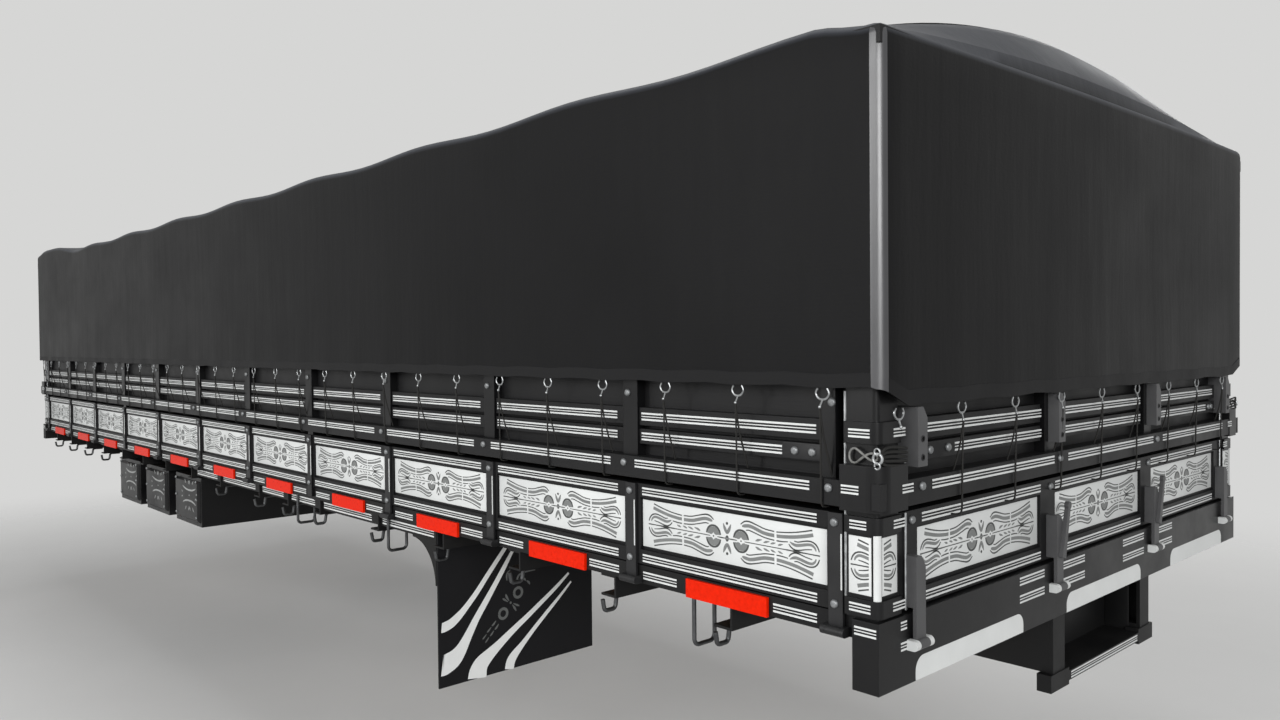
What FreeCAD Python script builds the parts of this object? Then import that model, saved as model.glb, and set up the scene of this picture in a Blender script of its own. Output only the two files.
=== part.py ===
import FreeCAD, Part
import os
from math import cos, radians, sin, tan

# Grain truck body: a timber and steel load bed with drop gates, under a tarpaulin on hoops.
# Frame: +X forward, +Y left, +Z up. The origin is on the seat where the two longitudinal
# runners lie on the chassis, at the middle of the bed. Lengths are in millimetres.
# "Station" is the distance forward of the rear plane; export() shifts it to the origin.

V = FreeCAD.Vector
os.makedirs("parts", exist_ok=True)

# ---- driving dimensions ---------------------------------------------------
BED_L = 7992.0            # between the rear and front wall planes
HALF_W = 1222.0           # centre line to the side wall plane (rail faces)
BAY_COUNT = 11            # side bays, one ornamental panel each
END_STAKE = 104.0         # rear plane to the line where the bays start
PANEL_SPACE = 64.7        # between two side panels
REAR_BAYS = 3
REAR_END_STAKE = 120.4    # side wall plane to the line where the rear bays start
REAR_PANEL_SPACE = 92.7

RUNNER_DEPTH = 206.0
RUNNER_FLANGE = 75.0
RUNNER_WEB_T = 8.0
RUNNER_FLANGE_T = 10.0
RUNNER_OUTER = 360.0      # centre line to the outer face of a runner
CROSS_DEPTH = 66.0
CROSS_W = 65.0
CROSS_REAR = (475.0, 929.0, 1403.0, 1875.0, 2366.0, 2897.0, 3238.0, 3580.0, 4105.0)
CROSS_LAST = 297.0        # front plane to the last cross-member
CROSS_FORE = 8            # cross-members ahead of those, at one pitch
CROSS_WALL = 7.0
FLOOR_T = 30.0
SILL_H = 52.0
SILL_T = 60.0
SILL_INSET = 5.0          # sill face inside the wall plane, clear of the gate straps

GATE_LIFT = 57.0          # gate's lower edge above the sill's underside
GATE_H = 228.0
GATE_T = 42.0
LOWER_RAIL_H = 41.0       # rail E, along the gate's foot
UPPER_RAIL_H = 39.0       # rail D, along its head
PANEL_RECESS = 10.0
GATE_GAP = 5.0            # clearance at each end of a gate
POST_W = 50.0             # fixed posts between two gates
CORNER_POST_W = 84.0
CORNER_PROUD = 4.0
CORNER_WALL = 8.0
CORNER_ROUND = 12.0
CAP_PROUD = 12.0          # castings round the corner posts, outside the wall planes
CAP_ROUND = 20.0
CAP_C_PROUD = 30.0        # the one that joins the two outer rails
CAP_C_ROUND = 40.0
CAP_C_LIFT = 298.0
CAP_C_H = 105.0
CORNER_BAR_W = 13.0       # pale angle over the corner, between two castings
CORNER_BAR_T = 5.0

RAIL_C_LIFT = 305.0       # the long outer rail
RAIL_C_H = 60.0
RAIL_C_PROUD = 28.0
BOARD_FACE = 25.0         # inset of the upper board's face from the wall plane
BOARD_T = 30.0
BOARD_TOP = 500.0         # top of rail A
BOARD_HEAD = 650.0        # top of the boards, up inside the tarpaulin's hem
RAIL_A_H = 50.0
RAIL_B_LIFT = 398.0
RAIL_B_H = 42.0
STAKE_W = 60.0
STAKE_PROUD = 6.0
END_STAKE_AHEAD = 23.0    # upper end stake's centre, past the line where the bays start
END_STAKE_W = 40.0

STRAP_W = 40.0
STRAP_T = 8.0
STRAP_MARGIN = 3.0        # end strap's edge inside the leaf's end
SIDE_PIN_PROUD = 16.0     # hinge pin outside the wall plane
SIDE_PIN_LIFT = 12.0
PIN_R = 5.0
PIN_CLEAR = 0.4
SIDE_KNUCKLE_R = 11.0
LUG_W = 12.0
LUG_CLEAR = 0.5

BEAM_T = 70.0             # rear beam, along X
BEAM_PROUD = 16.0
BEAM_SIDE = 20.0          # beam ends outside the side wall planes
BEAM_DROP = 110.0         # below the sill's underside
ARCH_H = 55.0
ARCH_R = 34.0
ARCH_INSET_T = 6.0
ARCH_END = 132.0          # side wall plane to the end of an outer arch
ARCH_FAR = 182.8          # middle hinge plate's centre to the outer arch
ARCH_NEAR = 87.2          # middle hinge plate's centre to the middle arch

PLATE_W = 40.0
PLATE_T = 32.0
PLATE_MARGIN = 26.0       # an outer plate's free edge to the tailgate's end
PLATE_SHIFT = 10.0        # middle plates to the right of their stakes
PLATE_TOP = 185.0
PLATE_SHOULDER = 26.0      # height of the sloped shoulder
PLATE_CUT = 18.0          # width of the sloped shoulder
TONGUE_T = 10.0
REAR_PIN_PROUD = 33.0
REAR_PIN_DROP = 18.0
REAR_KNUCKLE_R = 12.0
REAR_KNUCKLE_L = 40.0
CLEVIS_W = 16.0
LEVER_L = 160.0
LEVER_W = 22.0
LEVER_TIP_W = 12.0
LEVER_KNOB_R = 11.0
LEVER_T = 12.0
LEVER_LEAN = 14.0         # degrees off the vertical
UPPER_PLATE_LIFT = 392.0
UPPER_PLATE_H = 138.0

BLOCK_W = 118.0
BLOCK_H = 50.0
BLOCK_DEPTH = 42.0
BAR_H = 28.0
TAIL_PLATE_T = 8.0
TAIL_PLATE_STATION = 100.0

TARP_SIDE = 38.0          # past the side wall planes
TARP_OVER = 40.0          # past the wall planes at both ends
TARP_T = 5.0
TARP_GAP = 0.3
HEM_LIFT = 575.0
EAVE_LIFT = 1385.0
ROOF_RISE = 220.0
HIP_RUN = 190.0
HOOP_COUNT = 10
HOOP_FIRST = 160.0
HOOP_W = 50.0
HOOP_T = 8.0
FRAME_BAR = 40.0          # square tube round the top of the cage
FRAME_WALL = 4.0
HEADBOARD_T = 32.0

REFLECTOR_L = 280.0
REFLECTOR_H = 50.0
REFLECTOR_T = 9.0
HOOK_ROD_R = 6.5
HOOK_DROP = 42.0
HOOK_REACH = 62.0
HOOK_AHEAD = 25.0         # hook ahead of its cross-member's centre line
STIRRUP_ROD_R = 6.0
STIRRUP_DROP = 140.0
STIRRUP_W = 80.0
STIRRUP_BEND = 18.0
FLAP_W = 740.0
FLAP_H = 590.0
FLAP_T = 8.0
FLAP_INSET = 22.0         # outer edge inside the side wall plane
FLAP_MEMBER = 3           # hung on this cross-member, counted from the rear
GUSSET_R = 170.0
GUSSET_T = 8.0
WHEEL_RAIL_H = 44.0
WHEEL_RAIL_T = 26.0
WHEEL_RAIL_GAP = 12.0      # far end of the wheel rail to the first box
BOX_FIRST = 4480.0
BOX_L = 430.0
BOX_PITCH = 565.0
BOX_COUNT = 3
BOX_INSET = 32.0          # face inside the side wall plane
BOX_CLEAR = 42.0          # between a runner and a box
BOX_DROP = 345.0
BOX_FACE_T = 14.0
BOX_MARGIN = 22.0
BOX_CHAMFER = 12.0
STIRRUP_REAR = 107.0      # first stirrup, ahead of its cross-member
STIRRUP_MIDDLE = 106.0    # the others, behind theirs
STIRRUP_FORE = 131.0
STIRRUP_MEMBERS = (0, 4, 6)
BOLT_R = 9.0
BOLT_SPACING = 5600.0     # chassis bolts, along X
BOLT_EDGE = 35.0          # bolt line inside a runner's outer face

# ---- levels and stations worked out from them -------------------------------
BAY_PITCH = (BED_L - 2 * END_STAKE) / BAY_COUNT
PANEL_L = BAY_PITCH - PANEL_SPACE
FIRST_BAY = END_STAKE + PANEL_SPACE / 2
REAR_PITCH = 2 * (HALF_W - REAR_END_STAKE) / REAR_BAYS
REAR_PANEL_L = REAR_PITCH - REAR_PANEL_SPACE
BEAM_HALF_W = HALF_W + BEAM_SIDE
TARP_HALF_W = HALF_W + TARP_SIDE
CROSS_PITCH = (BED_L - CROSS_LAST - CROSS_REAR[-1]) / CROSS_FORE
CROSS_Z = RUNNER_DEPTH
SILL_Z = CROSS_Z + CROSS_DEPTH
FLOOR_TOP = SILL_Z + FLOOR_T
GATE_Z = SILL_Z + GATE_LIFT
GATE_TOP = GATE_Z + GATE_H
RAIL_C_Z = SILL_Z + RAIL_C_LIFT
BOARD_TOP_Z = SILL_Z + BOARD_TOP
EAVE_Z = SILL_Z + EAVE_LIFT
FRAME_TOP = EAVE_Z - TARP_T - TARP_GAP - HOOP_T
FRAME_Z = FRAME_TOP - FRAME_BAR
FRAME_HALF_W = TARP_HALF_W - TARP_T - TARP_GAP
FRAME_OVER = TARP_OVER - TARP_T - TARP_GAP
POST_INNER = CORNER_POST_W - CORNER_PROUD
STAKE_STATIONS = [END_STAKE + BAY_PITCH * k for k in range(BAY_COUNT + 1)]
REAR_STAKES = [REAR_PITCH * (k - REAR_BAYS / 2) for k in range(REAR_BAYS + 1)]
GATE_POSTS = (4, 8)       # stakes that are fixed posts between two gates
END_STRAP = POST_INNER + GATE_GAP + STRAP_W / 2 + STRAP_MARGIN
CROSS_STATIONS = list(CROSS_REAR) + [CROSS_REAR[-1] + CROSS_PITCH * (k + 1) for k in range(CROSS_FORE)]
STIRRUP_OFFSETS = [STIRRUP_REAR, -STIRRUP_MIDDLE, -STIRRUP_FORE]
STIRRUP_STATIONS = [CROSS_STATIONS[k] + offset for k, offset in zip(STIRRUP_MEMBERS, STIRRUP_OFFSETS)]
FLAP_OUTER = HALF_W - FLAP_INSET
BOX_OUTER = HALF_W - BOX_INSET
BOX_INNER = RUNNER_OUTER + BOX_CLEAR


# ---- helpers -------------------------------------------------------------------
def box(x0, x1, y0, y1, z0, z1):
    return Part.makeBox(x1 - x0, y1 - y0, z1 - z0, V(x0, y0, z0))


def prism(points, direction):
    wire = Part.makePolygon(points + [points[0]])
    return Part.Face(wire).extrude(direction)


def mirrored(shape):
    return shape.mirror(V(0, 0, 0), V(0, 1, 0))


def both_sides(shapes):
    return shapes + [mirrored(s) for s in shapes]


def fused(shapes):
    whole = shapes[0].fuse(shapes[1:]) if len(shapes) > 1 else shapes[0]
    return whole.removeSplitter()


def cut_all(shape, tools):
    return shape.cut(Part.makeCompound(tools))


def side_prism(profile, s0, s1):
    """Extrude a wall profile of (inset from the wall plane, z) along the left side."""
    return prism([V(s0, HALF_W - inset, z) for inset, z in profile], V(s1 - s0, 0, 0))


def rear_prism(profile, y0, y1):
    """Extrude the same kind of profile across the rear wall."""
    return prism([V(inset, y0, z) for inset, z in profile], V(0, y1 - y0, 0))


def front_prism(profile, y0, y1):
    return prism([V(BED_L - inset, y0, z) for inset, z in profile], V(0, y1 - y0, 0))


def rod(points, radius, bend):
    """Round rod along straight runs joined by arcs of one bend radius."""
    edges = []
    start = points[0]
    for before, corner, after in zip(points, points[1:], points[2:]):
        toward = (before - corner).normalize()
        away = (after - corner).normalize()
        half_turn = toward.getAngle(away) / 2
        middle = (toward + away).normalize()
        a = corner + toward * (bend / tan(half_turn))
        b = corner + away * (bend / tan(half_turn))
        through = corner + middle * (bend / sin(half_turn) - bend)
        edges += [Part.LineSegment(start, a).toShape(), Part.Arc(a, through, b).toShape()]
        start = b
    edges.append(Part.LineSegment(start, points[-1]).toShape())
    section = Part.Wire(Part.makeCircle(radius, points[0], points[1] - points[0]))
    return Part.Wire(edges).makePipeShell([section], True, False)


def export(name, shapes):
    solids = [s for shape in shapes for s in shape.Solids]
    whole = solids[0] if len(solids) == 1 else Part.makeCompound(solids)
    whole.translate(V(-BED_L / 2, 0, 0))
    whole.exportStep("parts/" + name + ".step")
    print(name, len(solids), round(sum(s.Volume for s in solids) / 1e6, 1), whole.isValid())


# ---- underframe -------------------------------------------------------------------
def runner():
    """Left runner: a steel channel, open towards the middle, drilled for the chassis bolts."""
    outer = RUNNER_OUTER
    inner = outer - RUNNER_FLANGE
    web = outer - RUNNER_WEB_T
    low = RUNNER_FLANGE_T
    high = RUNNER_DEPTH - RUNNER_FLANGE_T
    profile = [(outer, 0), (outer, RUNNER_DEPTH), (inner, RUNNER_DEPTH), (inner, high),
               (web, high), (web, low), (inner, low), (inner, 0)]
    channel = prism([V(0, y, z) for y, z in profile], V(BED_L, 0, 0))
    holes = [Part.makeCylinder(BOLT_R, RUNNER_FLANGE_T, V(BED_L / 2 + side * BOLT_SPACING / 2,
                                                          RUNNER_OUTER - BOLT_EDGE, 0))
             for side in (-1, 1)]
    return cut_all(channel, holes)


def cross_member(station):
    """Steel channel lying across the runners, its open side towards the front."""
    x0 = station - CROSS_W / 2
    x1 = station + CROSS_W / 2
    z0 = CROSS_Z
    z1 = SILL_Z
    profile = [(x0, z0), (x1, z0), (x1, z0 + CROSS_WALL), (x0 + CROSS_WALL, z0 + CROSS_WALL),
               (x0 + CROSS_WALL, z1 - CROSS_WALL), (x1, z1 - CROSS_WALL), (x1, z1), (x0, z1)]
    reach = HALF_W - STRAP_T
    return prism([V(x, -reach, z) for x, z in profile], V(0, 2 * reach, 0))


def side_sill():
    face = HALF_W - SILL_INSET
    return box(BEAM_T - BEAM_PROUD, BED_L - BEAM_T + BEAM_PROUD, face - SILL_T, face,
               SILL_Z, SILL_Z + SILL_H)


def floor():
    half = HALF_W - SILL_INSET - SILL_T
    return box(BEAM_T - BEAM_PROUD, BED_L - BEAM_T + BEAM_PROUD, -half, half, SILL_Z, FLOOR_TOP)


def arch_plate(y0, y1, depth):
    """Plate with rounded upper corners that fits an arch in the rear beam."""
    z0 = SILL_Z - BEAM_DROP
    z1 = z0 + ARCH_H
    plate = box(-BEAM_PROUD, depth - BEAM_PROUD, y0, y1, z0, z1)
    corners = [e for e in plate.Edges if e.BoundBox.YLength < 1 and e.BoundBox.ZLength < 1
               and e.CenterOfMass.z > z1 - 1]
    return plate.makeFillet(ARCH_R, corners)


def arch_plates(depth):
    outer = HALF_W - ARCH_END
    inner = REAR_PITCH / 2 + ARCH_FAR
    middle = REAR_PITCH / 2 - ARCH_NEAR
    spans = [(inner, outer), (-middle, middle), (-outer, -inner)]
    return [arch_plate(y0, y1, depth) for y0, y1 in spans]


def rear_beam_block():
    return box(-BEAM_PROUD, BEAM_T - BEAM_PROUD, -BEAM_HALF_W, BEAM_HALF_W,
               SILL_Z - BEAM_DROP, SILL_Z + SILL_H)


def rear_beam():
    return cut_all(rear_beam_block(), arch_plates(ARCH_INSET_T))


def front_beam():
    return box(BED_L - BEAM_T + BEAM_PROUD, BED_L + BEAM_PROUD, -BEAM_HALF_W, BEAM_HALF_W,
               CROSS_Z, SILL_Z + SILL_H)


def underrun():
    """Feet and bar that hang at the rear ends of the runners, and the plate between them."""
    beam_under = SILL_Z - BEAM_DROP
    foot_inner = RUNNER_OUTER - RUNNER_FLANGE / 2 - BLOCK_W / 2
    x0 = -BEAM_PROUD
    foot = box(x0, x0 + BLOCK_DEPTH, foot_inner, foot_inner + BLOCK_W, -BLOCK_H, 0)
    post = box(x0 + TAIL_PLATE_T / 2, 0, RUNNER_OUTER - RUNNER_FLANGE, RUNNER_OUTER, 0, beam_under)
    bar_z = -(BLOCK_H + BAR_H) / 2
    bar = box(x0, x0 + BLOCK_DEPTH, -foot_inner, foot_inner, bar_z, bar_z + BAR_H)
    return fused(both_sides([foot, post]) + [bar])


def tail_plate():
    """Plate between the runners' ends, bent back at the bottom as a tread behind the bar."""
    half = RUNNER_OUTER - RUNNER_FLANGE
    low = (BAR_H - BLOCK_H) / 2
    front = TAIL_PLATE_STATION + TAIL_PLATE_T
    plate = box(TAIL_PLATE_STATION, front, -half, half, low, CROSS_Z)
    tread = box(BLOCK_DEPTH - BEAM_PROUD, front, -half, half, low - TAIL_PLATE_T, low)
    return plate.fuse(tread).removeSplitter()


# ---- walls ------------------------------------------------------------------------
def corner_block(inset):
    """Square column of the rear left post, shrunk by an inset."""
    x0 = inset - CORNER_PROUD
    y1 = HALF_W + CORNER_PROUD - inset
    side = CORNER_POST_W - 2 * inset
    return box(x0, x0 + side, y1 - side, y1, SILL_Z + SILL_H, FRAME_Z)


def rounded_corner(block, radius):
    edges = [e for e in block.Edges if e.BoundBox.ZLength > 1
             and e.CenterOfMass.x < 0 and e.CenterOfMass.y > HALF_W]
    return block.makeFillet(radius, edges)


def corner_cap(lift, height, proud, radius):
    """Casting round the outer corner of the rear left post."""
    z = SILL_Z + lift
    block = box(-proud, POST_INNER, HALF_W - POST_INNER, HALF_W + proud, z, z + height)
    return rounded_corner(block, radius)


def rail_c_cap():
    return corner_cap(CAP_C_LIFT, CAP_C_H, CAP_C_PROUD, CAP_C_ROUND)


def corner_post():
    """Rear left post: a square tube with a casting level with each rail."""
    levels = [(GATE_LIFT, LOWER_RAIL_H), (GATE_LIFT + GATE_H - UPPER_RAIL_H, UPPER_RAIL_H),
              (BOARD_TOP - RAIL_A_H, RAIL_A_H)]
    caps = [corner_cap(lift, height, CAP_PROUD, CAP_ROUND) for lift, height in levels]
    tube = rounded_corner(corner_block(0), CORNER_ROUND)
    return fused([tube, rail_c_cap()] + caps).cut(corner_block(CORNER_WALL))


def corner_bar():
    """Pale angle over the corner of the rear left post, level with the panels."""
    z0 = GATE_Z + LOWER_RAIL_H
    z1 = GATE_TOP - UPPER_RAIL_H
    out = CORNER_PROUD + CORNER_BAR_T
    angle = box(-out, CORNER_BAR_W - out, HALF_W + out - CORNER_BAR_W, HALF_W + out, z0, z1)
    return rounded_corner(angle, CORNER_ROUND).cut(rounded_corner(corner_block(0), CORNER_ROUND))


def at_corners(shape):
    return both_sides([shape, shape.mirror(V(BED_L / 2, 0, 0), V(1, 0, 0))])


def gate_post(stake):
    """Fixed post between two gates, with its strap over the sill."""
    c = STAKE_STATIONS[stake]
    post = box(c - POST_W / 2, c + POST_W / 2, HALF_W - GATE_T, HALF_W, SILL_Z + SILL_H, RAIL_C_Z)
    strap = box(c - STRAP_W / 2, c + STRAP_W / 2, HALF_W, HALF_W + STRAP_T,
                SILL_Z + SIDE_PIN_LIFT, GATE_TOP)
    pad = box(c - STRAP_W / 2, c + STRAP_W / 2, HALF_W - SILL_INSET, HALF_W,
              SILL_Z + SIDE_PIN_LIFT, SILL_Z + SILL_H)
    return fused([post, strap, pad])


def bay_spans():
    return [(FIRST_BAY + BAY_PITCH * k, FIRST_BAY + BAY_PITCH * k + PANEL_L) for k in range(BAY_COUNT)]


def rear_spans():
    first = REAR_STAKES[0] + (REAR_PITCH - REAR_PANEL_L) / 2
    return [(first + REAR_PITCH * k, first + REAR_PITCH * k + REAR_PANEL_L) for k in range(REAR_BAYS)]


def wall_rails(make, spans):
    """Rails A and B, which stop at each stake."""
    levels = [(BOARD_TOP_Z - RAIL_A_H, BOARD_TOP_Z), (SILL_Z + RAIL_B_LIFT, SILL_Z + RAIL_B_LIFT + RAIL_B_H)]
    rails = []
    for a, b in spans:
        for z0, z1 in levels:
            outline = [(0, z0), (BOARD_FACE, z0), (BOARD_FACE, z1), (0, z1)]
            rails.append(make(outline, a, b))
    return rails


def upper_board(make, a, b):
    back = BOARD_FACE + BOARD_T
    head = SILL_Z + BOARD_HEAD
    outline = [(BOARD_FACE, RAIL_C_Z), (back, RAIL_C_Z), (back, head), (BOARD_FACE, head)]
    return make(outline, a, b)


def rail_c(make, a, b):
    top = RAIL_C_Z + RAIL_C_H
    outline = [(-RAIL_C_PROUD, RAIL_C_Z), (BOARD_FACE, RAIL_C_Z), (BOARD_FACE, top), (-RAIL_C_PROUD, top)]
    return make(outline, a, b)


def upper_wall_side():
    rail = cut_all(rail_c(side_prism, -RAIL_C_PROUD, BED_L + RAIL_C_PROUD), at_corners(rail_c_cap()))
    board = upper_board(side_prism, POST_INNER, BED_L - POST_INNER)
    rails = [cut_all(r, end_stakes()) for r in wall_rails(side_prism, bay_spans())]
    return fused([board, rail] + rails)


def upper_wall_rear():
    reach = HALF_W + CORNER_PROUD - CORNER_POST_W
    rail_reach = HALF_W - BOARD_FACE
    rail = cut_all(rail_c(rear_prism, -rail_reach, rail_reach), at_corners(rail_c_cap()))
    board = upper_board(rear_prism, -reach, reach)
    return fused([board, rail] + wall_rails(rear_prism, rear_spans()))


def headboard():
    """Front wall: upright boards with three cross rails, up to the top frame."""
    reach = HALF_W + CORNER_PROUD - CORNER_POST_W
    face = PANEL_RECESS
    z0 = SILL_Z + SILL_H
    wall = front_prism([(face, z0), (face + HEADBOARD_T, z0), (face + HEADBOARD_T, FRAME_Z),
                        (face, FRAME_Z)], -reach, reach)
    levels = [z0, (z0 + BOARD_TOP_Z) / 2, BOARD_TOP_Z - RAIL_A_H, FRAME_Z - RAIL_A_H]
    rails = [front_prism([(0, z), (face, z), (face, z + RAIL_A_H), (0, z + RAIL_A_H)], -reach, reach)
             for z in levels]
    return fused([wall] + rails)


def side_stake(c, width):
    return box(c - width / 2, c + width / 2, HALF_W - BOARD_FACE, HALF_W + STAKE_PROUD,
               RAIL_C_Z + RAIL_C_H, FRAME_Z)


def end_stakes():
    c = END_STAKE + END_STAKE_AHEAD
    return [side_stake(c, END_STAKE_W), side_stake(BED_L - c, END_STAKE_W)]


def stakes():
    z0 = RAIL_C_Z + RAIL_C_H
    side = end_stakes() + [side_stake(c, STAKE_W) for c in STAKE_STATIONS[1:-1]]
    rear = [box(-STAKE_PROUD, BOARD_FACE, c - STAKE_W / 2, c + STAKE_W / 2, z0, FRAME_Z)
            for c in REAR_STAKES[1:-1]]
    return both_sides(side) + rear


def rear_strap_places():
    outer = HALF_W + CORNER_PROUD - CORNER_POST_W - GATE_GAP - PLATE_MARGIN - PLATE_W / 2
    return [-outer] + [y - PLATE_SHIFT for y in REAR_STAKES[1:-1]] + [outer]


def chamfered_plate(y, x0, x1, z0, z1):
    """Upright block with one sloped shoulder, on its right as seen from behind."""
    half = PLATE_W / 2
    profile = [(-half, z0), (half, z0), (half, z1), (PLATE_CUT - half, z1), (-half, z1 - PLATE_SHOULDER)]
    return prism([V(x0, y + dy, z) for dy, z in profile], V(x1 - x0, 0, 0))


def upper_plates():
    """Four keeper plates over the upper rear boards, the outer ones on the board itself."""
    z0 = SILL_Z + UPPER_PLATE_LIFT
    plates = []
    for y in rear_strap_places():
        back = -STAKE_PROUD if y + PLATE_SHIFT in REAR_STAKES else BOARD_FACE
        plates.append(chamfered_plate(y, -STAKE_PROUD - PLATE_T, back, z0, z0 + UPPER_PLATE_H))
    rails = wall_rails(rear_prism, rear_spans())
    return [cut_all(p, rails) for p in plates]


# ---- drop gates ---------------------------------------------------------------------
def gate_limits(number):
    posts = [STAKE_STATIONS[k] for k in GATE_POSTS]
    starts = [POST_INNER] + [p + POST_W / 2 for p in posts]
    ends = [p - POST_W / 2 for p in posts] + [BED_L - POST_INNER]
    return starts[number] + GATE_GAP, ends[number] - GATE_GAP


def gate_leaf(make, a, b, spans):
    """A timber leaf: rails E and D with the ornamental panels sunk between them."""
    leaf = make([(0, GATE_Z), (GATE_T, GATE_Z), (GATE_T, GATE_TOP), (0, GATE_TOP)], a, b)
    z0 = GATE_Z + LOWER_RAIL_H
    z1 = GATE_TOP - UPPER_RAIL_H
    sunk = [(0, z0), (PANEL_RECESS, z0), (PANEL_RECESS, z1), (0, z1)]
    return cut_all(leaf, [make(sunk, s, e) for s, e in spans if s > a and e < b])


def side_gate(number):
    a, b = gate_limits(number)
    return gate_leaf(side_prism, a, b, bay_spans())


def strap_stations(number):
    a, b = gate_limits(number)
    places = [END_STRAP] + STAKE_STATIONS[1:-1] + [BED_L - END_STRAP]
    return [c for c in places if a < c < b]


def side_axis():
    return HALF_W + SIDE_PIN_PROUD, SILL_Z + SIDE_PIN_LIFT


def gate_strap(c):
    """Strap up the face of the leaf, ending in a bored knuckle at its foot."""
    y, z = side_axis()
    x0 = c - STRAP_W / 2
    flat = box(x0, x0 + STRAP_W, HALF_W, HALF_W + STRAP_T, z, GATE_TOP)
    knuckle = Part.makeCylinder(SIDE_KNUCKLE_R, STRAP_W, V(x0, y, z), V(1, 0, 0))
    bore = Part.makeCylinder(PIN_R + PIN_CLEAR, STRAP_W, V(x0, y, z), V(1, 0, 0))
    return flat.fuse(knuckle).cut(bore).removeSplitter()


def side_hinge(c):
    """Pin and two lugs on the sill for one strap."""
    y, z = side_axis()
    reach = STRAP_W / 2 + LUG_CLEAR
    lugs = []
    for x0 in (c - reach - LUG_W, c + reach):
        ear = Part.makeCylinder(SIDE_KNUCKLE_R, LUG_W, V(x0, y, z), V(1, 0, 0))
        root = box(x0, x0 + LUG_W, HALF_W - SILL_INSET, y, z - SIDE_KNUCKLE_R, z + SIDE_KNUCKLE_R)
        lugs += [ear, root]
    pin = Part.makeCylinder(PIN_R, 2 * (reach + LUG_W), V(c - reach - LUG_W, y, z), V(1, 0, 0))
    return fused(lugs + [pin])


def side_hinges():
    return [side_hinge(c) for number in range(3) for c in strap_stations(number)]


def tailgate():
    reach = HALF_W + CORNER_PROUD - CORNER_POST_W - GATE_GAP
    return gate_leaf(rear_prism, -reach, reach, rear_spans())


def rear_axis():
    return -REAR_PIN_PROUD, SILL_Z - REAR_PIN_DROP


def tailgate_plate(y):
    """Hinge plate on the tailgate: a thick head, a tongue and a bored knuckle."""
    x, z = rear_axis()
    head = chamfered_plate(y, -PLATE_T, 0, GATE_Z + STRAP_T, SILL_Z + PLATE_TOP)
    y0 = y - REAR_KNUCKLE_L / 2
    tongue = box(-PLATE_T, TONGUE_T - PLATE_T, y0, y0 + REAR_KNUCKLE_L, z, GATE_Z + 2 * STRAP_T)
    knuckle = Part.makeCylinder(REAR_KNUCKLE_R, REAR_KNUCKLE_L, V(x, y0, z), V(0, 1, 0))
    bore = Part.makeCylinder(PIN_R + PIN_CLEAR, REAR_KNUCKLE_L, V(x, y0, z), V(0, 1, 0))
    return head.fuse([tongue, knuckle]).cut(bore).removeSplitter()


def clevis(y):
    """Fixed fork on the rear beam that holds one hinge plate's pin."""
    x, z = rear_axis()
    reach = REAR_KNUCKLE_L / 2 + LUG_CLEAR
    cheeks = []
    for y0 in (y - reach - CLEVIS_W, y + reach):
        ear = Part.makeCylinder(REAR_KNUCKLE_R, CLEVIS_W, V(x, y0, z), V(0, 1, 0))
        root = box(x, -BEAM_PROUD, y0, y0 + CLEVIS_W, z - REAR_KNUCKLE_R, z + REAR_KNUCKLE_R)
        cheeks += [ear, root]
    pin = Part.makeCylinder(PIN_R, 2 * (reach + CLEVIS_W), V(x, y - reach - CLEVIS_W, z), V(0, 1, 0))
    return fused(cheeks + [pin])


def lever(y):
    """Latch lever that leans beside a middle hinge plate: a tapered bar with a round knob."""
    x0 = -PLATE_T
    z0 = GATE_Z + STRAP_T
    y0 = y - PLATE_W / 2 + LEVER_W / 2
    top = z0 + LEVER_L - LEVER_KNOB_R
    across = V(-LEVER_T, 0, 0)
    bar = prism([V(x0, y0 - LEVER_W / 2, z0), V(x0, y0 + LEVER_W / 2, z0),
                 V(x0, y0 + LEVER_TIP_W / 2, top), V(x0, y0 - LEVER_TIP_W / 2, top)], across)
    knob = Part.makeCylinder(LEVER_KNOB_R, LEVER_T, V(x0, y0, top), across)
    whole = bar.fuse(knob).removeSplitter()
    whole.rotate(V(x0, y0, z0), V(1, 0, 0), LEVER_LEAN)
    return whole


# ---- tarpaulin and its cage -------------------------------------------------------------
def tarp_block(offset, z_low):
    """Outer form of the tarpaulin, shrunk by an offset: flat sides, arched roof, sloped ends."""
    x0 = offset - TARP_OVER
    x1 = BED_L + TARP_OVER - offset
    half = TARP_HALF_W - offset
    eave = EAVE_Z - offset
    crest = eave + ROOF_RISE
    corners = [V(x0, -half, z_low), V(x0, -half, eave), V(x0, half, eave), V(x0, half, z_low)]
    arch = Part.Arc(corners[1], V(x0, 0, crest), corners[2]).toShape()
    outline = [Part.makeLine(corners[0], corners[1]), arch, Part.makeLine(corners[2], corners[3]),
               Part.makeLine(corners[3], corners[0])]
    block = Part.Face(Part.Wire(outline)).extrude(V(x1 - x0, 0, 0))
    slope = ROOF_RISE / HIP_RUN
    beyond = HIP_RUN + TARP_OVER
    rear = prism([V(x0 - TARP_OVER, -beyond - half, eave - TARP_OVER * slope),
                  V(x0 + beyond, -beyond - half, eave + beyond * slope),
                  V(x0 - TARP_OVER, -beyond - half, eave + beyond * slope)], V(0, 2 * (half + beyond), 0))
    front = rear.mirror(V(BED_L / 2, 0, 0), V(1, 0, 0))
    return cut_all(block, [rear, front])


def tarp():
    hem = SILL_Z + HEM_LIFT
    return tarp_block(0, hem).cut(tarp_block(TARP_T, hem - TARP_T))


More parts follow.
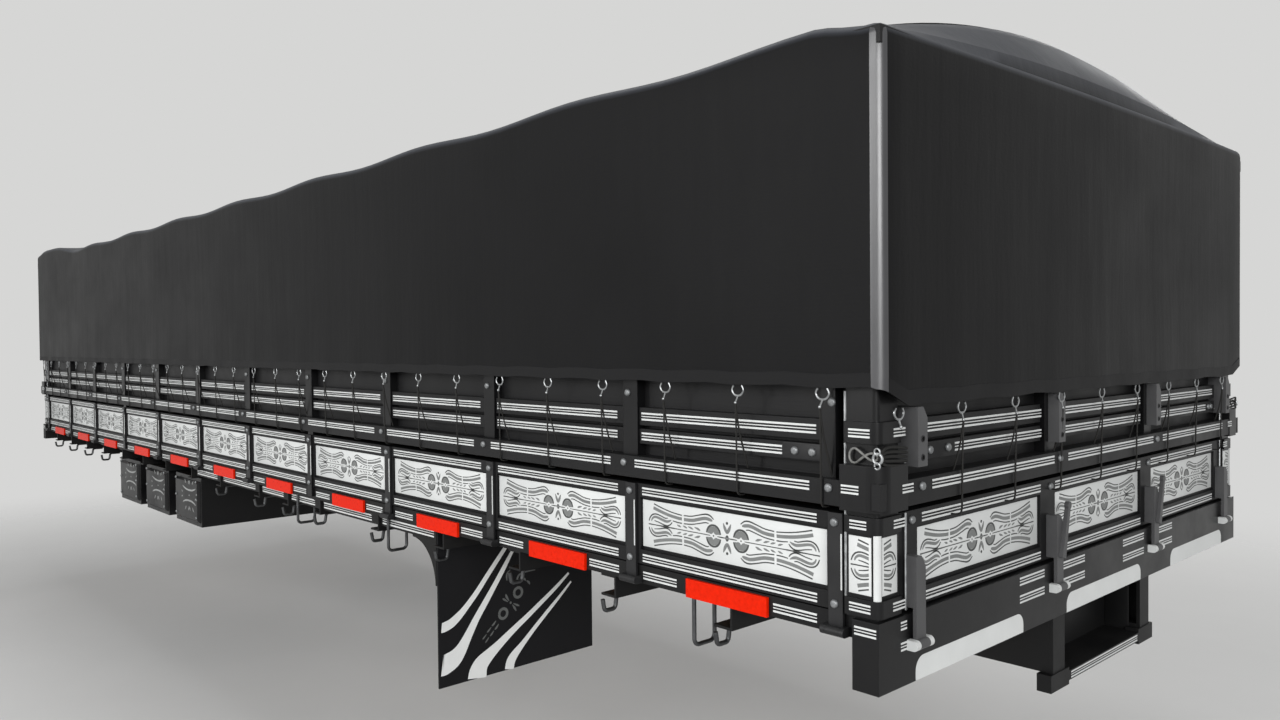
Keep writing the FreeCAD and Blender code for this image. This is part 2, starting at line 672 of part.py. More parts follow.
def top_frame():
    """Square tube ring round the top of the cage, which carries the hoops."""
    def ring(inset, z0, z1):
        return box(inset - FRAME_OVER, BED_L + FRAME_OVER - inset,
                   inset - FRAME_HALF_W, FRAME_HALF_W - inset, z0, z1)
    outer = ring(0, FRAME_Z, FRAME_TOP).cut(ring(FRAME_BAR, FRAME_Z, FRAME_TOP))
    hollow = ring(FRAME_WALL, FRAME_Z + FRAME_WALL, FRAME_TOP - FRAME_WALL).cut(
        ring(FRAME_BAR - FRAME_WALL, FRAME_Z + FRAME_WALL, FRAME_TOP - FRAME_WALL))
    return outer.cut(hollow)


def hoops():
    """Flat steel hoops bent to the roof's arch, standing on the top frame."""
    under = tarp_block(TARP_T + TARP_GAP, FRAME_TOP)
    inner = tarp_block(TARP_T + TARP_GAP + HOOP_T, 0)
    pitch = (BED_L - 2 * HOOP_FIRST) / (HOOP_COUNT - 1)
    band = under.cut(inner)
    return [band.common(box(HOOP_FIRST + pitch * k - HOOP_W / 2, HOOP_FIRST + pitch * k + HOOP_W / 2,
                            -HALF_W * 2, HALF_W * 2, FRAME_TOP, EAVE_Z + ROOF_RISE))
            for k in range(HOOP_COUNT)]


# ---- what hangs below and on the sill ---------------------------------------------------
def reflectors():
    face = HALF_W - SILL_INSET
    plates = []
    for a, b in bay_spans():
        x0 = (a + b - REFLECTOR_L) / 2
        plates.append(box(x0, x0 + REFLECTOR_L, face, face + REFLECTOR_T,
                          SILL_Z - REFLECTOR_T / 3, SILL_Z - REFLECTOR_T / 3 + REFLECTOR_H))
    return both_sides(plates)


def rope_hook(station):
    """Rod bent to a J under the end of a cross-member, its tip turned up outside."""
    z = CROSS_Z - HOOK_ROD_R
    y = HALF_W - HOOK_REACH
    low = z - HOOK_DROP
    path = [V(station, y - HOOK_REACH, z), V(station, y, z), V(station, y + HOOK_ROD_R, low),
            V(station, HALF_W - 2 * HOOK_ROD_R, low), V(station, HALF_W - HOOK_ROD_R, z - HOOK_ROD_R)]
    return rod(path, HOOK_ROD_R, 2 * HOOK_ROD_R)


def hook_stations():
    """Cross-member ends that stand clear of the toolboxes."""
    last = BOX_FIRST + BOX_PITCH * (BOX_COUNT - 1) + BOX_L
    return [s for s in CROSS_STATIONS if s < BOX_FIRST - CROSS_W or s > last + CROSS_W]


def stirrup(station):
    y = HALF_W - SILL_INSET - STIRRUP_ROD_R - LUG_CLEAR
    low = SILL_Z - STIRRUP_DROP + STIRRUP_ROD_R
    path = [V(station, y, SILL_Z), V(station, y, low), V(station, y - STIRRUP_W, low),
            V(station, y - STIRRUP_W, SILL_Z)]
    return rod(path, STIRRUP_ROD_R, STIRRUP_BEND)


def flap_station():
    return CROSS_STATIONS[FLAP_MEMBER] + CROSS_W / 2


def mudflap():
    x0 = flap_station()
    top = SILL_Z - CROSS_WALL
    return box(x0, x0 + FLAP_T, FLAP_OUTER - FLAP_W, FLAP_OUTER, top - FLAP_H, top)


def wheel_rail_band():
    outer = HALF_W - SILL_INSET - 2 * STIRRUP_ROD_R - 2 * LUG_CLEAR - 2
    return outer - WHEEL_RAIL_T, outer


def wheel_rail():
    """Rail under the sill over the wheels, in lengths between the cross-members."""
    y0, y1 = wheel_rail_band()
    bar = box(flap_station() + FLAP_T, BOX_FIRST - WHEEL_RAIL_GAP, y0, y1, SILL_Z - WHEEL_RAIL_H, SILL_Z)
    return cut_all(bar, [cross_member(s) for s in CROSS_STATIONS])


def gusset():
    """Curved plate in the corner between the wheel rail and the mudflap."""
    x0 = flap_station() + FLAP_T
    y1 = wheel_rail_band()[1]
    z1 = SILL_Z - WHEEL_RAIL_H
    square = box(x0, x0 + GUSSET_R, y1 - GUSSET_T, y1, z1 - GUSSET_R, z1)
    round_off = Part.makeCylinder(GUSSET_R - GUSSET_T, GUSSET_T, V(x0 + GUSSET_R, y1 - GUSSET_T, z1 - GUSSET_R),
                                  V(0, 1, 0))
    return square.cut(round_off)


def toolbox(number):
    """Closed box under the cross-members with a raised, bevelled face."""
    x0 = BOX_FIRST + BOX_PITCH * number
    x1 = x0 + BOX_L
    z0 = SILL_Z - BOX_DROP
    body = box(x0, x1, BOX_INNER, BOX_OUTER - BOX_FACE_T, z0, CROSS_Z)
    face = box(x0 + BOX_MARGIN, x1 - BOX_MARGIN, BOX_OUTER - BOX_FACE_T, BOX_OUTER,
               z0 + BOX_MARGIN, CROSS_Z - BOX_MARGIN)
    front = [e for e in face.Edges if e.CenterOfMass.y > BOX_OUTER - BOX_FACE_T / 4]
    return body.fuse(face.makeChamfer(BOX_CHAMFER, front)).removeSplitter()


# ---- files -------------------------------------------------------------------------------
export("longitudinal_runners", both_sides([cut_all(runner(), [rear_beam_block()])]))
export("cross_members", [cross_member(s) for s in CROSS_STATIONS])
export("floor", [floor()])
export("side_sills", both_sides([side_sill()]))
export("rear_beam", [rear_beam()])
export("rear_arch_plates", arch_plates(ARCH_INSET_T))
export("front_beam", [front_beam()])
export("underrun", [underrun(), tail_plate()])
export("corner_posts", at_corners(corner_post()))
export("corner_bars", at_corners(corner_bar()))
export("gate_posts", both_sides([gate_post(k) for k in GATE_POSTS]))
export("upper_wall_left", [upper_wall_side()])
export("upper_wall_right", [mirrored(upper_wall_side())])
export("upper_wall_rear", [upper_wall_rear()])
export("headboard", [headboard()])
export("stakes", stakes())
export("rear_keeper_plates", upper_plates())
for side, place in (("left", lambda shape: shape), ("right", mirrored)):
    for number, name in enumerate(("rear", "middle", "front")):
        export("gate_" + side + "_" + name, [place(side_gate(number))])
        export("gate_straps_" + side + "_" + name, [place(gate_strap(c)) for c in strap_stations(number)])
export("gate_hinges", both_sides(side_hinges()))
export("tailgate", [tailgate()])
export("tailgate_plates", [tailgate_plate(y) for y in rear_strap_places()])
export("tailgate_levers", [lever(y) for y in REAR_STAKES[1:-1]])
export("tailgate_clevises", [clevis(y) for y in rear_strap_places()])
export("top_frame", [top_frame()])
export("tarp_hoops", hoops())
export("tarp", [tarp()])
export("reflectors", reflectors())
export("rope_hooks", both_sides([rope_hook(s + HOOK_AHEAD) for s in hook_stations()]))
export("stirrups", both_sides([stirrup(s) for s in STIRRUP_STATIONS]))
export("wheel_rails", both_sides([wheel_rail()]))
export("flap_gussets", both_sides([gusset()]))
export("mudflaps", both_sides([mudflap()]))
export("toolboxes", both_sides([toolbox(number) for number in range(BOX_COUNT)]))
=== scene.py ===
"""Dresses the load body of a grain truck: finishes, painted ornament, iron trim, ropes and the cover.

Lengths in fields and tables are millimetres in the part's own frame: X forward, Y left, Z up.
A piece that repeats is modelled once, facing -Y with its back at Y 0, and its copies are seated.
"""

import logging
import math
from contextlib import contextmanager
from dataclasses import dataclass, field
from enum import Enum
from typing import Any, Callable, Iterator, Sequence

import bmesh
import bpy
from mathutils import Matrix, Vector, noise


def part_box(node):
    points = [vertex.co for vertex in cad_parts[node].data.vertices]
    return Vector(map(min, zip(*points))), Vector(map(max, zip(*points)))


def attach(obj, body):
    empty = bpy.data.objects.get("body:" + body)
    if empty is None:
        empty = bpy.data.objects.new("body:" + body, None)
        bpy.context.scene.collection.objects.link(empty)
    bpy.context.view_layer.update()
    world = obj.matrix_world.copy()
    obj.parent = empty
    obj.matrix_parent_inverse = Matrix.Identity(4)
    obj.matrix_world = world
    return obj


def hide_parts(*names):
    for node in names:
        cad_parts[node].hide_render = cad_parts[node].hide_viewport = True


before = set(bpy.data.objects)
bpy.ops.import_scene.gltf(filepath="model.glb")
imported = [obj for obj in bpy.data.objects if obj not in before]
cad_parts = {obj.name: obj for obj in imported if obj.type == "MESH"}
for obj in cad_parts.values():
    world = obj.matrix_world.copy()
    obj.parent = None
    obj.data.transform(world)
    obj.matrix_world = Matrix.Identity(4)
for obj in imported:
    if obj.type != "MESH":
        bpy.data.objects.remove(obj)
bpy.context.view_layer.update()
LOG = logging.getLogger("load_body")
MM = 0.001

Piece = bpy.types.Object
Tree = bpy.types.NodeTree
Test = Callable[[Vector, Vector], bool]
Pair = tuple[float, float]
Point3 = tuple[float, float, float]
Row = tuple[float, ...]
Stroke = Sequence[Point3]
UPRIGHT: Point3 = (90.0, 0.0, 0.0)
SMOOTH_ANGLE = math.radians(35.0)
# Corners closer than this are one, in mm, and a face this near a level, in mm, lies at it.
WELD = 0.01
NEAR = 0.1
# The least share of a direction along an axis to face along it, and to run straight along it.
FACING = 0.9
STRAIGHT = 0.99


# ---- places and names that several sub-assemblies share --------------------------------
def span(node: str, axis: int) -> Pair:
    """Gives the lowest and highest value of a node along an axis, in mm."""
    low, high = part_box(node)
    return low[axis] / MM, high[axis] / MM


class Gate(Enum):
    """The three drop gates of one side."""

    REAR = "rear"
    MIDDLE = "middle"
    FRONT = "front"


class Slot(Enum):
    """The record's material slots that the dressing uses."""

    TRIM = "pale_trim"
    ZINC = "zinc"
    IRON = "iron_paint"
    SHEET = "tarpaulin"
    STEEL = "frame_steel"


@dataclass(frozen=True)
class Layout:
    """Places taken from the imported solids: lifts are heights, stations run forward from the rear plane."""

    sill: float = span("floor", 2)[0]
    hem: float = span("tarp", 2)[0]
    crest: float = span("tarp", 2)[1]
    wall: float = 1222.0
    floor_short: float = 54.0
    half: float = span("floor", 0)[1] + floor_short
    length: float = 2 * half
    bays: int = 11
    posts: tuple[int, int] = (4, 8)
    panel: float = 642.94
    reflector: float = 280.0
    rear_end: float = 120.4
    rear_pitch: float = 2 * (wall - rear_end) / 3
    ring_first: float = 119.0
    ring_pitch: float = 258.0
    rear_ring_pitch: float = 276.0

    @property
    def pitch(self) -> float:
        """Distance from one side panel to the next."""
        low, high = span("reflectors", 0)
        return (high - low - self.reflector) / (self.bays - 1)

    @property
    def first(self) -> float:
        """Station where the first side panel starts."""
        return self.half - self.pitch * self.bays / 2 + (self.pitch - self.panel) / 2

    def x(self, station: float) -> float:
        """Turns a station into X."""
        return station - self.half

    def z(self, lift: float) -> float:
        """Turns a height above the sill's underside into Z."""
        return self.sill + lift

    def bay_start(self, bay: int) -> float:
        """Station where a side panel starts."""
        return self.first + self.pitch * bay

    def gate_of(self, bay: int) -> Gate:
        """The drop gate that carries a side panel."""
        return list(Gate)[sum(bay >= post for post in self.posts)]

    def bays_of(self, gate: Gate) -> list[int]:
        """The side panels on a drop gate."""
        return [bay for bay in range(self.bays) if self.gate_of(bay) is gate]


LAY = Layout()


class Face(Enum):
    """The four sides of the body, by the turn that brings a piece modelled facing -Y onto each."""

    RIGHT = 0.0
    LEFT = 180.0
    REAR = -90.0
    FRONT = 90.0

    @property
    def word(self) -> str:
        """The side's name, as pieces and bodies have it."""
        return self.name.lower()

    def place(self, along: float, proud: float, lift: float) -> Matrix:
        """Gives the matrix that seats a piece on this side.

        Args:
            along: station on the long sides, Y on the two ends, in mm.
            proud: distance outside the wall plane, in mm.
            lift: height above the sill's underside, in mm.

        Returns:
            The turn and the shift, in metres.
        """
        out = (LAY.wall if self in SIDES else LAY.half) + proud
        x, y = {Face.RIGHT: (LAY.x(along), -out), Face.LEFT: (LAY.x(along), out),
                Face.REAR: (-out, along), Face.FRONT: (out, along)}[self]
        return (Matrix.Translation(Vector((x, y, LAY.z(lift))) * MM)
                @ Matrix.Rotation(math.radians(self.value), 4, "Z"))


SIDES = (Face.LEFT, Face.RIGHT)
TAILGATE = "rear_gate"
BED = "bed"


def gate_body(side: Face, gate: Gate) -> str:
    """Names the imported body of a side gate."""
    return f"side_gate_{side.word}_{gate.value}"


# ---- finishes --------------------------------------------------------------------------
def linear(code: str) -> tuple[float, float, float, float]:
    """Turns an sRGB hex code such as "1A2B3C" into linear red, green, blue and alpha."""
    parts = [int(code[k:k + 2], 16) / 255 for k in (0, 2, 4)]
    return tuple(p / 12.92 if p <= 0.04045 else ((p + 0.055) / 1.055) ** 2.4 for p in parts) + (1.0,)


def per_mm(size: float) -> float:
    """Gives the texture scale, per metre, at which one feature measures size millimetres."""
    return 1.0 / (size * MM)


def add_node(tree: Tree, kind: str, settings: dict[Any, Any] | None = None,
             links: dict[Any, Any] | None = None) -> bpy.types.Node:
    """Adds a shader node with its settings and links.

    Args:
        tree: the material's or world's node tree.
        kind: the node's type name after "ShaderNode".
        settings: attribute names, or input names and numbers, with their values.
        links: input names or numbers with the sockets that feed them.

    Returns:
        The new node.
    """
    node = tree.nodes.new("ShaderNode" + kind)
    for key, value in (settings or {}).items():
        if isinstance(key, int) or key in node.inputs:
            node.inputs[key].default_value = value
        else:
            setattr(node, key, value)
    for key, socket in (links or {}).items():
        tree.links.new(socket, node.inputs[key])
    return node


@dataclass(frozen=True)
class Grain:
    """One layer of relief: its features' size, their height, and how each axis is stretched."""

    size: float
    height: float
    stretch: Point3 = (1.0, 1.0, 1.0)


ALONG: Point3 = (0.06, 1.0, 1.0)
ACROSS: Point3 = (1.0, 0.06, 1.0)
FALL: Point3 = (1.0, 1.0, 0.12)
# How many times over a wave pattern runs in one unit at scale 1.
WAVE_TURNS = 6.28


@dataclass(frozen=True)
class Finish:
    """One surface finish: what it is made of and how it catches light."""

    name: str
    shades: tuple[str, ...]
    patch: float
    roughness: Pair
    relief: tuple[Grain, ...] = ()
    at: Row = (0.3, 0.7)
    metallic: float = 0.0
    coat: float = 0.0
    ior: float = 1.5
    specular: float = 0.5
    edge: float = 0.0

    def material(self) -> bpy.types.Material:
        """Gives the node material, made once."""
        return bpy.data.materials.get(self.name) or self.build()

    def build(self) -> bpy.types.Material:
        """Makes the node material: a mottled colour, varied gloss and layered relief.

        Returns:
            The material.
        """
        material = bpy.data.materials.new(self.name)
        material.use_nodes = True
        tree = material.node_tree
        tree.nodes.clear()
        place = add_node(tree, "TexCoord").outputs["Object"]
        mottle = add_node(tree, "TexNoise", {"Scale": per_mm(self.patch), "Detail": 6.0, "Roughness": 0.6},
                          {"Vector": place}).outputs["Fac"]
        gloss = add_node(tree, "MapRange", {"From Min": 0.3, "From Max": 0.7, "To Min": self.roughness[0],
                                            "To Max": self.roughness[1]}, {"Value": mottle}).outputs[0]
        links = {"Base Color": self.colour(tree, place, mottle), "Roughness": gloss}
        normal = self.normal(tree, place)
        if normal is not None:
            links["Normal"] = normal
        shader = add_node(tree, "BsdfPrincipled",
                          {"Metallic": self.metallic, "Coat Weight": self.coat, "IOR": self.ior,
                           "Specular IOR Level": self.specular}, links)
        add_node(tree, "OutputMaterial", {}, {"Surface": self.surface(tree, place, shader.outputs[0])})
        return material

    def surface(self, tree: Tree, place: Any, shader: Any) -> Any:
        """Gives the output shader; the studio floor overrides it."""
        return shader

    def colour(self, tree: Tree, place: Any, mottle: Any) -> Any:
        """Maps the mottle onto the shades and gives the colour socket.

        Args:
            tree: the material's node tree.
            place: the socket with the Object coordinates.
            mottle: the socket with the mottle, 0 to 1.

        Returns:
            The colour socket.
        """
        node = add_node(tree, "ValToRGB", {}, {0: mottle})
        bar = node.color_ramp
        while len(bar.elements) < len(self.shades):
            bar.elements.new(0.5)
        for element, position, code in zip(bar.elements, self.at, self.shades):
            element.position = position
            element.color = linear(code)
        return node.outputs["Color"]

    def normal(self, tree: Tree, place: Any) -> Any:
        """Stacks the layers of relief over a softened edge.

        Args:
            tree: the material's node tree.
            place: the socket with the Object coordinates.

        Returns:
            The normal socket, or None where the finish is flat.
        """
        normal = None
        if self.edge:
            normal = add_node(tree, "Bevel", {"samples": 4, "Radius": self.edge * MM}).outputs[0]
        for grain in self.relief:
            spread = add_node(tree, "Mapping", {"Scale": grain.stretch}, {"Vector": place}).outputs[0]
            bumps = add_node(tree, "TexNoise", {"Scale": per_mm(grain.size), "Detail": 4.0},
                             {"Vector": spread}).outputs["Fac"]
            links = {"Height": bumps}
            if normal is not None:
                links["Normal"] = normal
            normal = add_node(tree, "Bump", {"Distance": grain.height * MM, "Strength": 1.0},
                              links).outputs[0]
        return normal


@dataclass(frozen=True)
class Planking(Finish):
    """Timber boards that run forward, with a dark seam between each two."""

    board: float = 150.0
    seam: float = 2.0

    def colour(self, tree: Tree, place: Any, mottle: Any) -> Any:
        """Darkens a narrow seam at each board's edge.

        Args:
            tree: the material's node tree.
            place: the socket with the Object coordinates.
            mottle: the socket with the mottle, 0 to 1.

        Returns:
            The colour socket.
        """
        across = add_node(tree, "SeparateXYZ", {}, {0: place}).outputs[1]
        cell = add_node(tree, "Math", {"operation": "PINGPONG", 1: self.board * MM / 2},
                        {0: across}).outputs[0]
        seam = add_node(tree, "MapRange", {"From Min": 0.0, "From Max": self.seam * MM, "To Min": 0.25,
                                           "To Max": 1.0}, {"Value": cell}).outputs[0]
        return add_node(tree, "MixRGB", {"blend_type": "MULTIPLY", "Fac": 1.0},
                        {1: super().colour(tree, place, mottle), 2: seam}).outputs[0]


@dataclass(frozen=True)
class Ground(Finish):
    """Studio floor that fades into the backdrop with distance, over a band given in metres."""

    fade: Pair = (4.5, 9.5)

    def surface(self, tree: Tree, place: Any, shader: Any) -> Any:
        """Mixes the floor's shader with clear by the distance from the middle.

        Args:
            tree: the material's node tree.
            place: the socket with the Object coordinates.
            shader: the floor's own shader.

        Returns:
            The mixed shader.
        """
        far = add_node(tree, "VectorMath", {"operation": "LENGTH"}, {0: place}).outputs["Value"]
        fac = add_node(tree, "MapRange", {"interpolation_type": "SMOOTHSTEP", "From Min": self.fade[0],
                                          "From Max": self.fade[1]}, {"Value": far}).outputs[0]
        clear = add_node(tree, "BsdfTransparent").outputs[0]
        return add_node(tree, "MixShader", {}, {0: fac, 1: shader, 2: clear}).outputs[0]


@dataclass(frozen=True)
class Cloth(Finish):
    """Coated canvas: a plain weave under a dull coating, with long soft creases."""

    thread: float = 5.0
    weave: float = 0.05
    dust: str = "34363B"

    def colour(self, tree: Tree, place: Any, mottle: Any) -> Any:
        """Lightens the cloth where it faces up: dusty from the road, and painted lighter on top for the light
        the roof catches.

        Args:
            tree: the material's node tree.
            place: the socket with the Object coordinates.
            mottle: the socket with the mottle, 0 to 1.

        Returns:
            The colour socket.
        """
        # Painted light with dirt: faces that look up are mixed towards a paler grey, so the roof reads
        # brighter than the walls.
        facing = add_node(tree, "NewGeometry").outputs["Normal"]
        level = add_node(tree, "SeparateXYZ", {}, {0: facing}).outputs[2]
        fac = add_node(tree, "MapRange", {"From Min": 0.12, "From Max": 0.5}, {"Value": level}).outputs[0]
        return add_node(tree, "MixRGB", {2: linear(self.dust)},
                        {"Fac": fac, 1: super().colour(tree, place, mottle)}).outputs[0]

    def normal(self, tree: Tree, place: Any) -> Any:
        """Adds the weave, as crossed waves, above the creases.

        Args:
            tree: the material's node tree.
            place: the socket with the Object coordinates.

        Returns:
            The normal socket.
        """
        normal = super().normal(tree, place)
        for turn in ((0.0, 0.0, 0.0), (0.0, math.pi / 2, 0.0)):
            spread = add_node(tree, "Mapping", {"Rotation": turn}, {"Vector": place}).outputs[0]
            wave = add_node(tree, "TexWave", {"Scale": per_mm(self.thread) / WAVE_TURNS,
                                              "Distortion": 0.4, "bands_direction": "X"},
                            {"Vector": spread})
            normal = add_node(tree, "Bump", {"Distance": self.weave * MM, "Strength": 0.5},
                              {"Height": wave.outputs["Fac"], "Normal": normal}).outputs[0]
        return normal


# Chassis enamel: brushed black paint on rolled steel; half gloss, with road dust in patches.
CHASSIS = Finish("chassis_enamel", ("0E0E0F", "131313", "191817"), 260.0, (0.4, 0.6), (Grain(6.0, 0.06),),
                 at=(0.35, 0.6, 0.8), specular=0.2, edge=2.0)
# Coach enamel: sprayed black over filled steel; glossy, with a slight orange peel.
COACH = Finish("coach_enamel", ("0B0B0C", "111112"), 180.0, (0.28, 0.45), (Grain(4.0, 0.04),), specular=0.22,
               coat=0.05, edge=2.5)
# Forged ironwork under black enamel: hammer marks some 15 mm wide show through the gloss.
IRON = Finish("forged_iron_enamel", ("171718", "202021"), 90.0, (0.36, 0.52),
              (Grain(15.0, 0.25), Grain(3.0, 0.05)), specular=0.3, edge=2.0)
# Cast plates and levers of the tailgate under thin grey enamel, the sand texture some 4 mm wide.
CASTING = Finish("cast_grey_enamel", ("464647", "515152"), 120.0, (0.4, 0.55), (Grain(4.0, 0.12),),
                 specular=0.3, edge=2.0)
# Planed hardwood boards under black enamel: long grain, raised some tenths of a millimetre.
BOARDS_LONG, BOARDS_CROSS = (
    Finish(f"painted_boards_{word}", ("0D0D0E", "141415"), 220.0, (0.36, 0.55),
           (Grain(5.0, 0.25, stretch), Grain(2.0, 0.05)), specular=0.22, edge=2.0)
    for word, stretch in (("long", ALONG), ("cross", ACROSS)))
# Bare hardwood planks of the floor, scuffed pale along the grain.
FLOORING = Planking("bare_planks", ("5B4632", "7A5F44", "94785A"), 90.0, (0.6, 0.85),
                    (Grain(4.0, 0.4, ALONG),), at=(0.3, 0.5, 0.75))
# Signwriter's pale enamel for the lines, brushed on in one coat.
LINING = Finish("lining_enamel", ("CACCCB", "D4D6D5"), 60.0, (0.35, 0.5), (Grain(2.5, 0.03),))
# Ornament ground: pale grey enamel on the sunk panels, half gloss.
GROUND = Finish("ornament_ground", ("CACCCB", "D4D6D5"), 150.0, (0.4, 0.55), (Grain(5.0, 0.05),))
# Ornament coats: grey enamel bands and leaves, with darker lines beside them; fainter on the flaps.
STROKE = Finish("ornament_band", ("6A6C6B", "757776"), 25.0, (0.4, 0.55), (Grain(3.0, 0.04),))
CONTOUR = Finish("ornament_line", ("303231", "3A3C3B"), 25.0, (0.4, 0.55), (Grain(3.0, 0.04),))
FAINT = Finish("ornament_faint", ("565857", "606261"), 25.0, (0.5, 0.65), (Grain(3.0, 0.04),))
# Pale enamel on cast trim: thick and slightly uneven, on the forks and corner bars.
TRIM = Finish("pale_trim_enamel", ("C6C8C7", "D0D2D1"), 120.0, (0.35, 0.5), (Grain(6.0, 0.05),), edge=1.5)
# The same enamel, painted whiter on the three arches of the rear beam: painted light where they face the rear
# in less light.
TRIM_LIT = Finish("pale_trim_painted_light", ("D0D2D1", "DADCDB"), 120.0, (0.35, 0.5), (Grain(6.0, 0.05),),
                    edge=1.5)
# Pale vinyl paint of the sweeps on rubber, and a greyer coat of it on the toolboxes.
SWEEP = Finish("sweep_paint", ("E2E4E3", "E8EAE9"), 80.0, (0.4, 0.55), (Grain(3.0, 0.04),))
SWEEP_GREY = Finish("sweep_paint_grey", ("8C8E8D", "989A99"), 80.0, (0.4, 0.55), (Grain(3.0, 0.04),))
# Acrylic reflector: clear red moulding with prisms of about 4 mm behind a smooth face.
REFLECTOR = Finish("acrylic_reflector", ("D01C00", "DE2200"), 12.0, (0.25, 0.4), (Grain(4.0, 0.15),),
                   at=(0.35, 0.65), specular=0.08, ior=1.49)
# Zinc-plated rod: bright, with a fine spangle and a dull white bloom.
ZINC = Finish("zinc_plate", ("8E9091", "B4B6B7"), 20.0, (0.3, 0.5), (Grain(4.0, 0.04),), metallic=1.0)
# The same plating under road film, as on the hooks below the sill.
ZINC_DARK = Finish("zinc_plate_filmed", ("3F4041", "5A5B5C"), 30.0, (0.38, 0.6), (Grain(4.0, 0.04),),
                   metallic=0.9)
# Domed bolt heads, plated, handled grey.
BOLT = Finish("plated_bolt", ("6E7071", "8A8C8D"), 10.0, (0.35, 0.55), metallic=0.6)
# Rubber sheet, calendered, with a dry grey bloom.
RUBBER = Finish("rubber_sheet", ("0F0F11", "161618"), 140.0, (0.55, 0.75), (Grain(3.0, 0.08),),
                specular=0.18, edge=1.0)
# Coated canvas of the cover: dull black PVC over polyester; its 1 mm threads are drawn 5 mm wide to show.
CANVAS = Cloth("coated_canvas", ("0B0B0C", "0E0E0F", "121213"), 420.0, (0.4, 0.5),
               (Grain(60.0, 1.2, FALL), Grain(14.0, 0.25)), at=(0.3, 0.55, 0.8), specular=0.1)
# The welded strips at its corners: the coating melted smooth and glossy, and coloured paler than the cloth as
# a painted highlight down the rounded corners.
CANVAS_SEAM_HIGHLIGHT = Finish("coated_canvas_seam", ("232326", "2B2B2E"), 160.0, (0.3, 0.36),
                     (Grain(60.0, 0.4, FALL),), specular=1.0)
# Its doubled hem, duller from handling.
CANVAS_HEM = Cloth("coated_canvas_hem", ("0E0E0F", "141415"), 120.0, (0.5, 0.62), (Grain(30.0, 0.5),),
                   specular=0.16)
# Laid rope, polypropylene, three strands about 5 mm wide: dark in the lashings, paler in the corner loops.
ROPE = Finish("laid_rope", ("121211", "1F1E1C"), 8.0, (0.6, 0.85), (Grain(5.0, 0.6),), specular=0.3)
ROPE_PALE = Finish("laid_rope_pale", ("5C5C5A", "868683"), 8.0, (0.6, 0.85), (Grain(5.0, 0.6),))
# Painted shade: a near-black that stands for the dark inside a drilled hole.
HOLE_SHADE = Finish("drilled_hole_painted_shade", ("030303", "060606"), 10.0, (0.7, 0.9), specular=0.1)
# Painted studio floor, matt.
STUDIO = Ground("studio_floor", ("CFCFCE", "D3D3D2"), 900.0, (0.75, 0.85), specular=0.1)


# ---- workbench: moves shared by every piece --------------------------------------------
def clear_selection() -> None:
    """Deselects every object."""
    bpy.ops.object.select_all(action="DESELECT")


def activate(piece: Piece) -> None:
    """Selects one object alone and makes it active.

    Args:
        piece: the object.
    """
    clear_selection()
    piece.select_set(True)
    bpy.context.view_layer.objects.active = piece


def link(name: str, data: Any) -> bpy.types.Object:
    """Puts an object with its data into the scene.

    Args:
        name: the object's name.
        data: its mesh, curve, lamp or camera.

    Returns:
        The object.
    """
    thing = bpy.data.objects.new(name, data)
    bpy.context.collection.objects.link(thing)
    return thing


def begin(kind: str, scale: Sequence[float] = (1.0, 1.0, 1.0), at: Sequence[float] = (0.0, 0.0, 0.0),
          turn: Sequence[float] = (0.0, 0.0, 0.0), **settings: Any) -> Piece:
    """Adds a mesh primitive at its size and place, and bakes both into its mesh.

    Args:
        kind: the primitive's name, such as "cube".
        scale: what each axis is multiplied by, in mm for a primitive of size 1.
        at: where its middle goes, in mm.
        turn: rotation about each axis, in degrees.
        settings: the primitive's own settings; its lengths are in mm too.

    Returns:
        The new object, at the origin.
    """
    clear_selection()
    getattr(bpy.ops.mesh, f"primitive_{kind}_add")(
        location=Vector(at) * MM, rotation=[math.radians(a) for a in turn], **settings)
    piece = bpy.context.object
    piece.scale = Vector(scale) * MM
    bpy.ops.object.transform_apply(location=True, rotation=True, scale=True)
    return piece


@contextmanager
def editing(piece: Piece, mode: str = "FACE") -> Iterator[None]:
    """Holds a piece in edit mode with one kind of element to select.

    Args:
        piece: the piece.
        mode: "FACE" or "EDGE".

    Returns:
        The context in which the piece is edited.
    """
    activate(piece)
    bpy.ops.object.mode_set(mode="EDIT")
    bpy.ops.mesh.select_mode(type=mode)
    yield
    bpy.ops.object.mode_set(mode="OBJECT")


def pick(piece: Piece, kind: str, test: Test) -> None:
    """Selects what passes a test, and nothing else.

    Args:
        piece: the piece in edit mode.
        kind: "faces" or "edges".
        test: tells from an item's middle in mm, and its normal or direction, whether it is picked.
    """
    mesh = bmesh.from_edit_mesh(piece.data)
    for item in (*mesh.faces, *mesh.edges, *mesh.verts):
        item.select = False
    for item in getattr(mesh, kind):
        if kind == "faces":
            centre, way = item.calc_center_median(), item.normal
        else:
            a, b = (v.co for v in item.verts)
            centre, way = (a + b) / 2, (b - a).normalized()
        if test(centre / MM, way):
            item.select_set(True)
    mesh.select_flush_mode()
    bmesh.update_edit_mesh(piece.data)


def pick_all() -> None:
    """Selects all of the piece in edit mode."""
    bpy.ops.mesh.select_all(action="SELECT")


def cut(axis: int, level: float, **settings: Any) -> None:
    """Bisects the piece in edit mode with a plane.

    Args:
        axis: the axis that the plane stands across.
        level: where it meets that axis, in mm.
        settings: the operator's own settings.
    """
    pick_all()
    plane = Vector([float(axis == k) for k in range(3)])
    bpy.ops.mesh.bisect(plane_co=plane * level * MM, plane_no=plane, **settings)


def extrude(shift: Sequence[float]) -> None:
    """Extrudes what is selected by a shift in mm."""
    bpy.ops.mesh.extrude_region_move(TRANSFORM_OT_translate={"value": Vector(shift) * MM})


def outward() -> None:
    """Turns every face of the piece in edit mode to point outwards."""
    pick_all()
    bpy.ops.mesh.normals_make_consistent(inside=False)


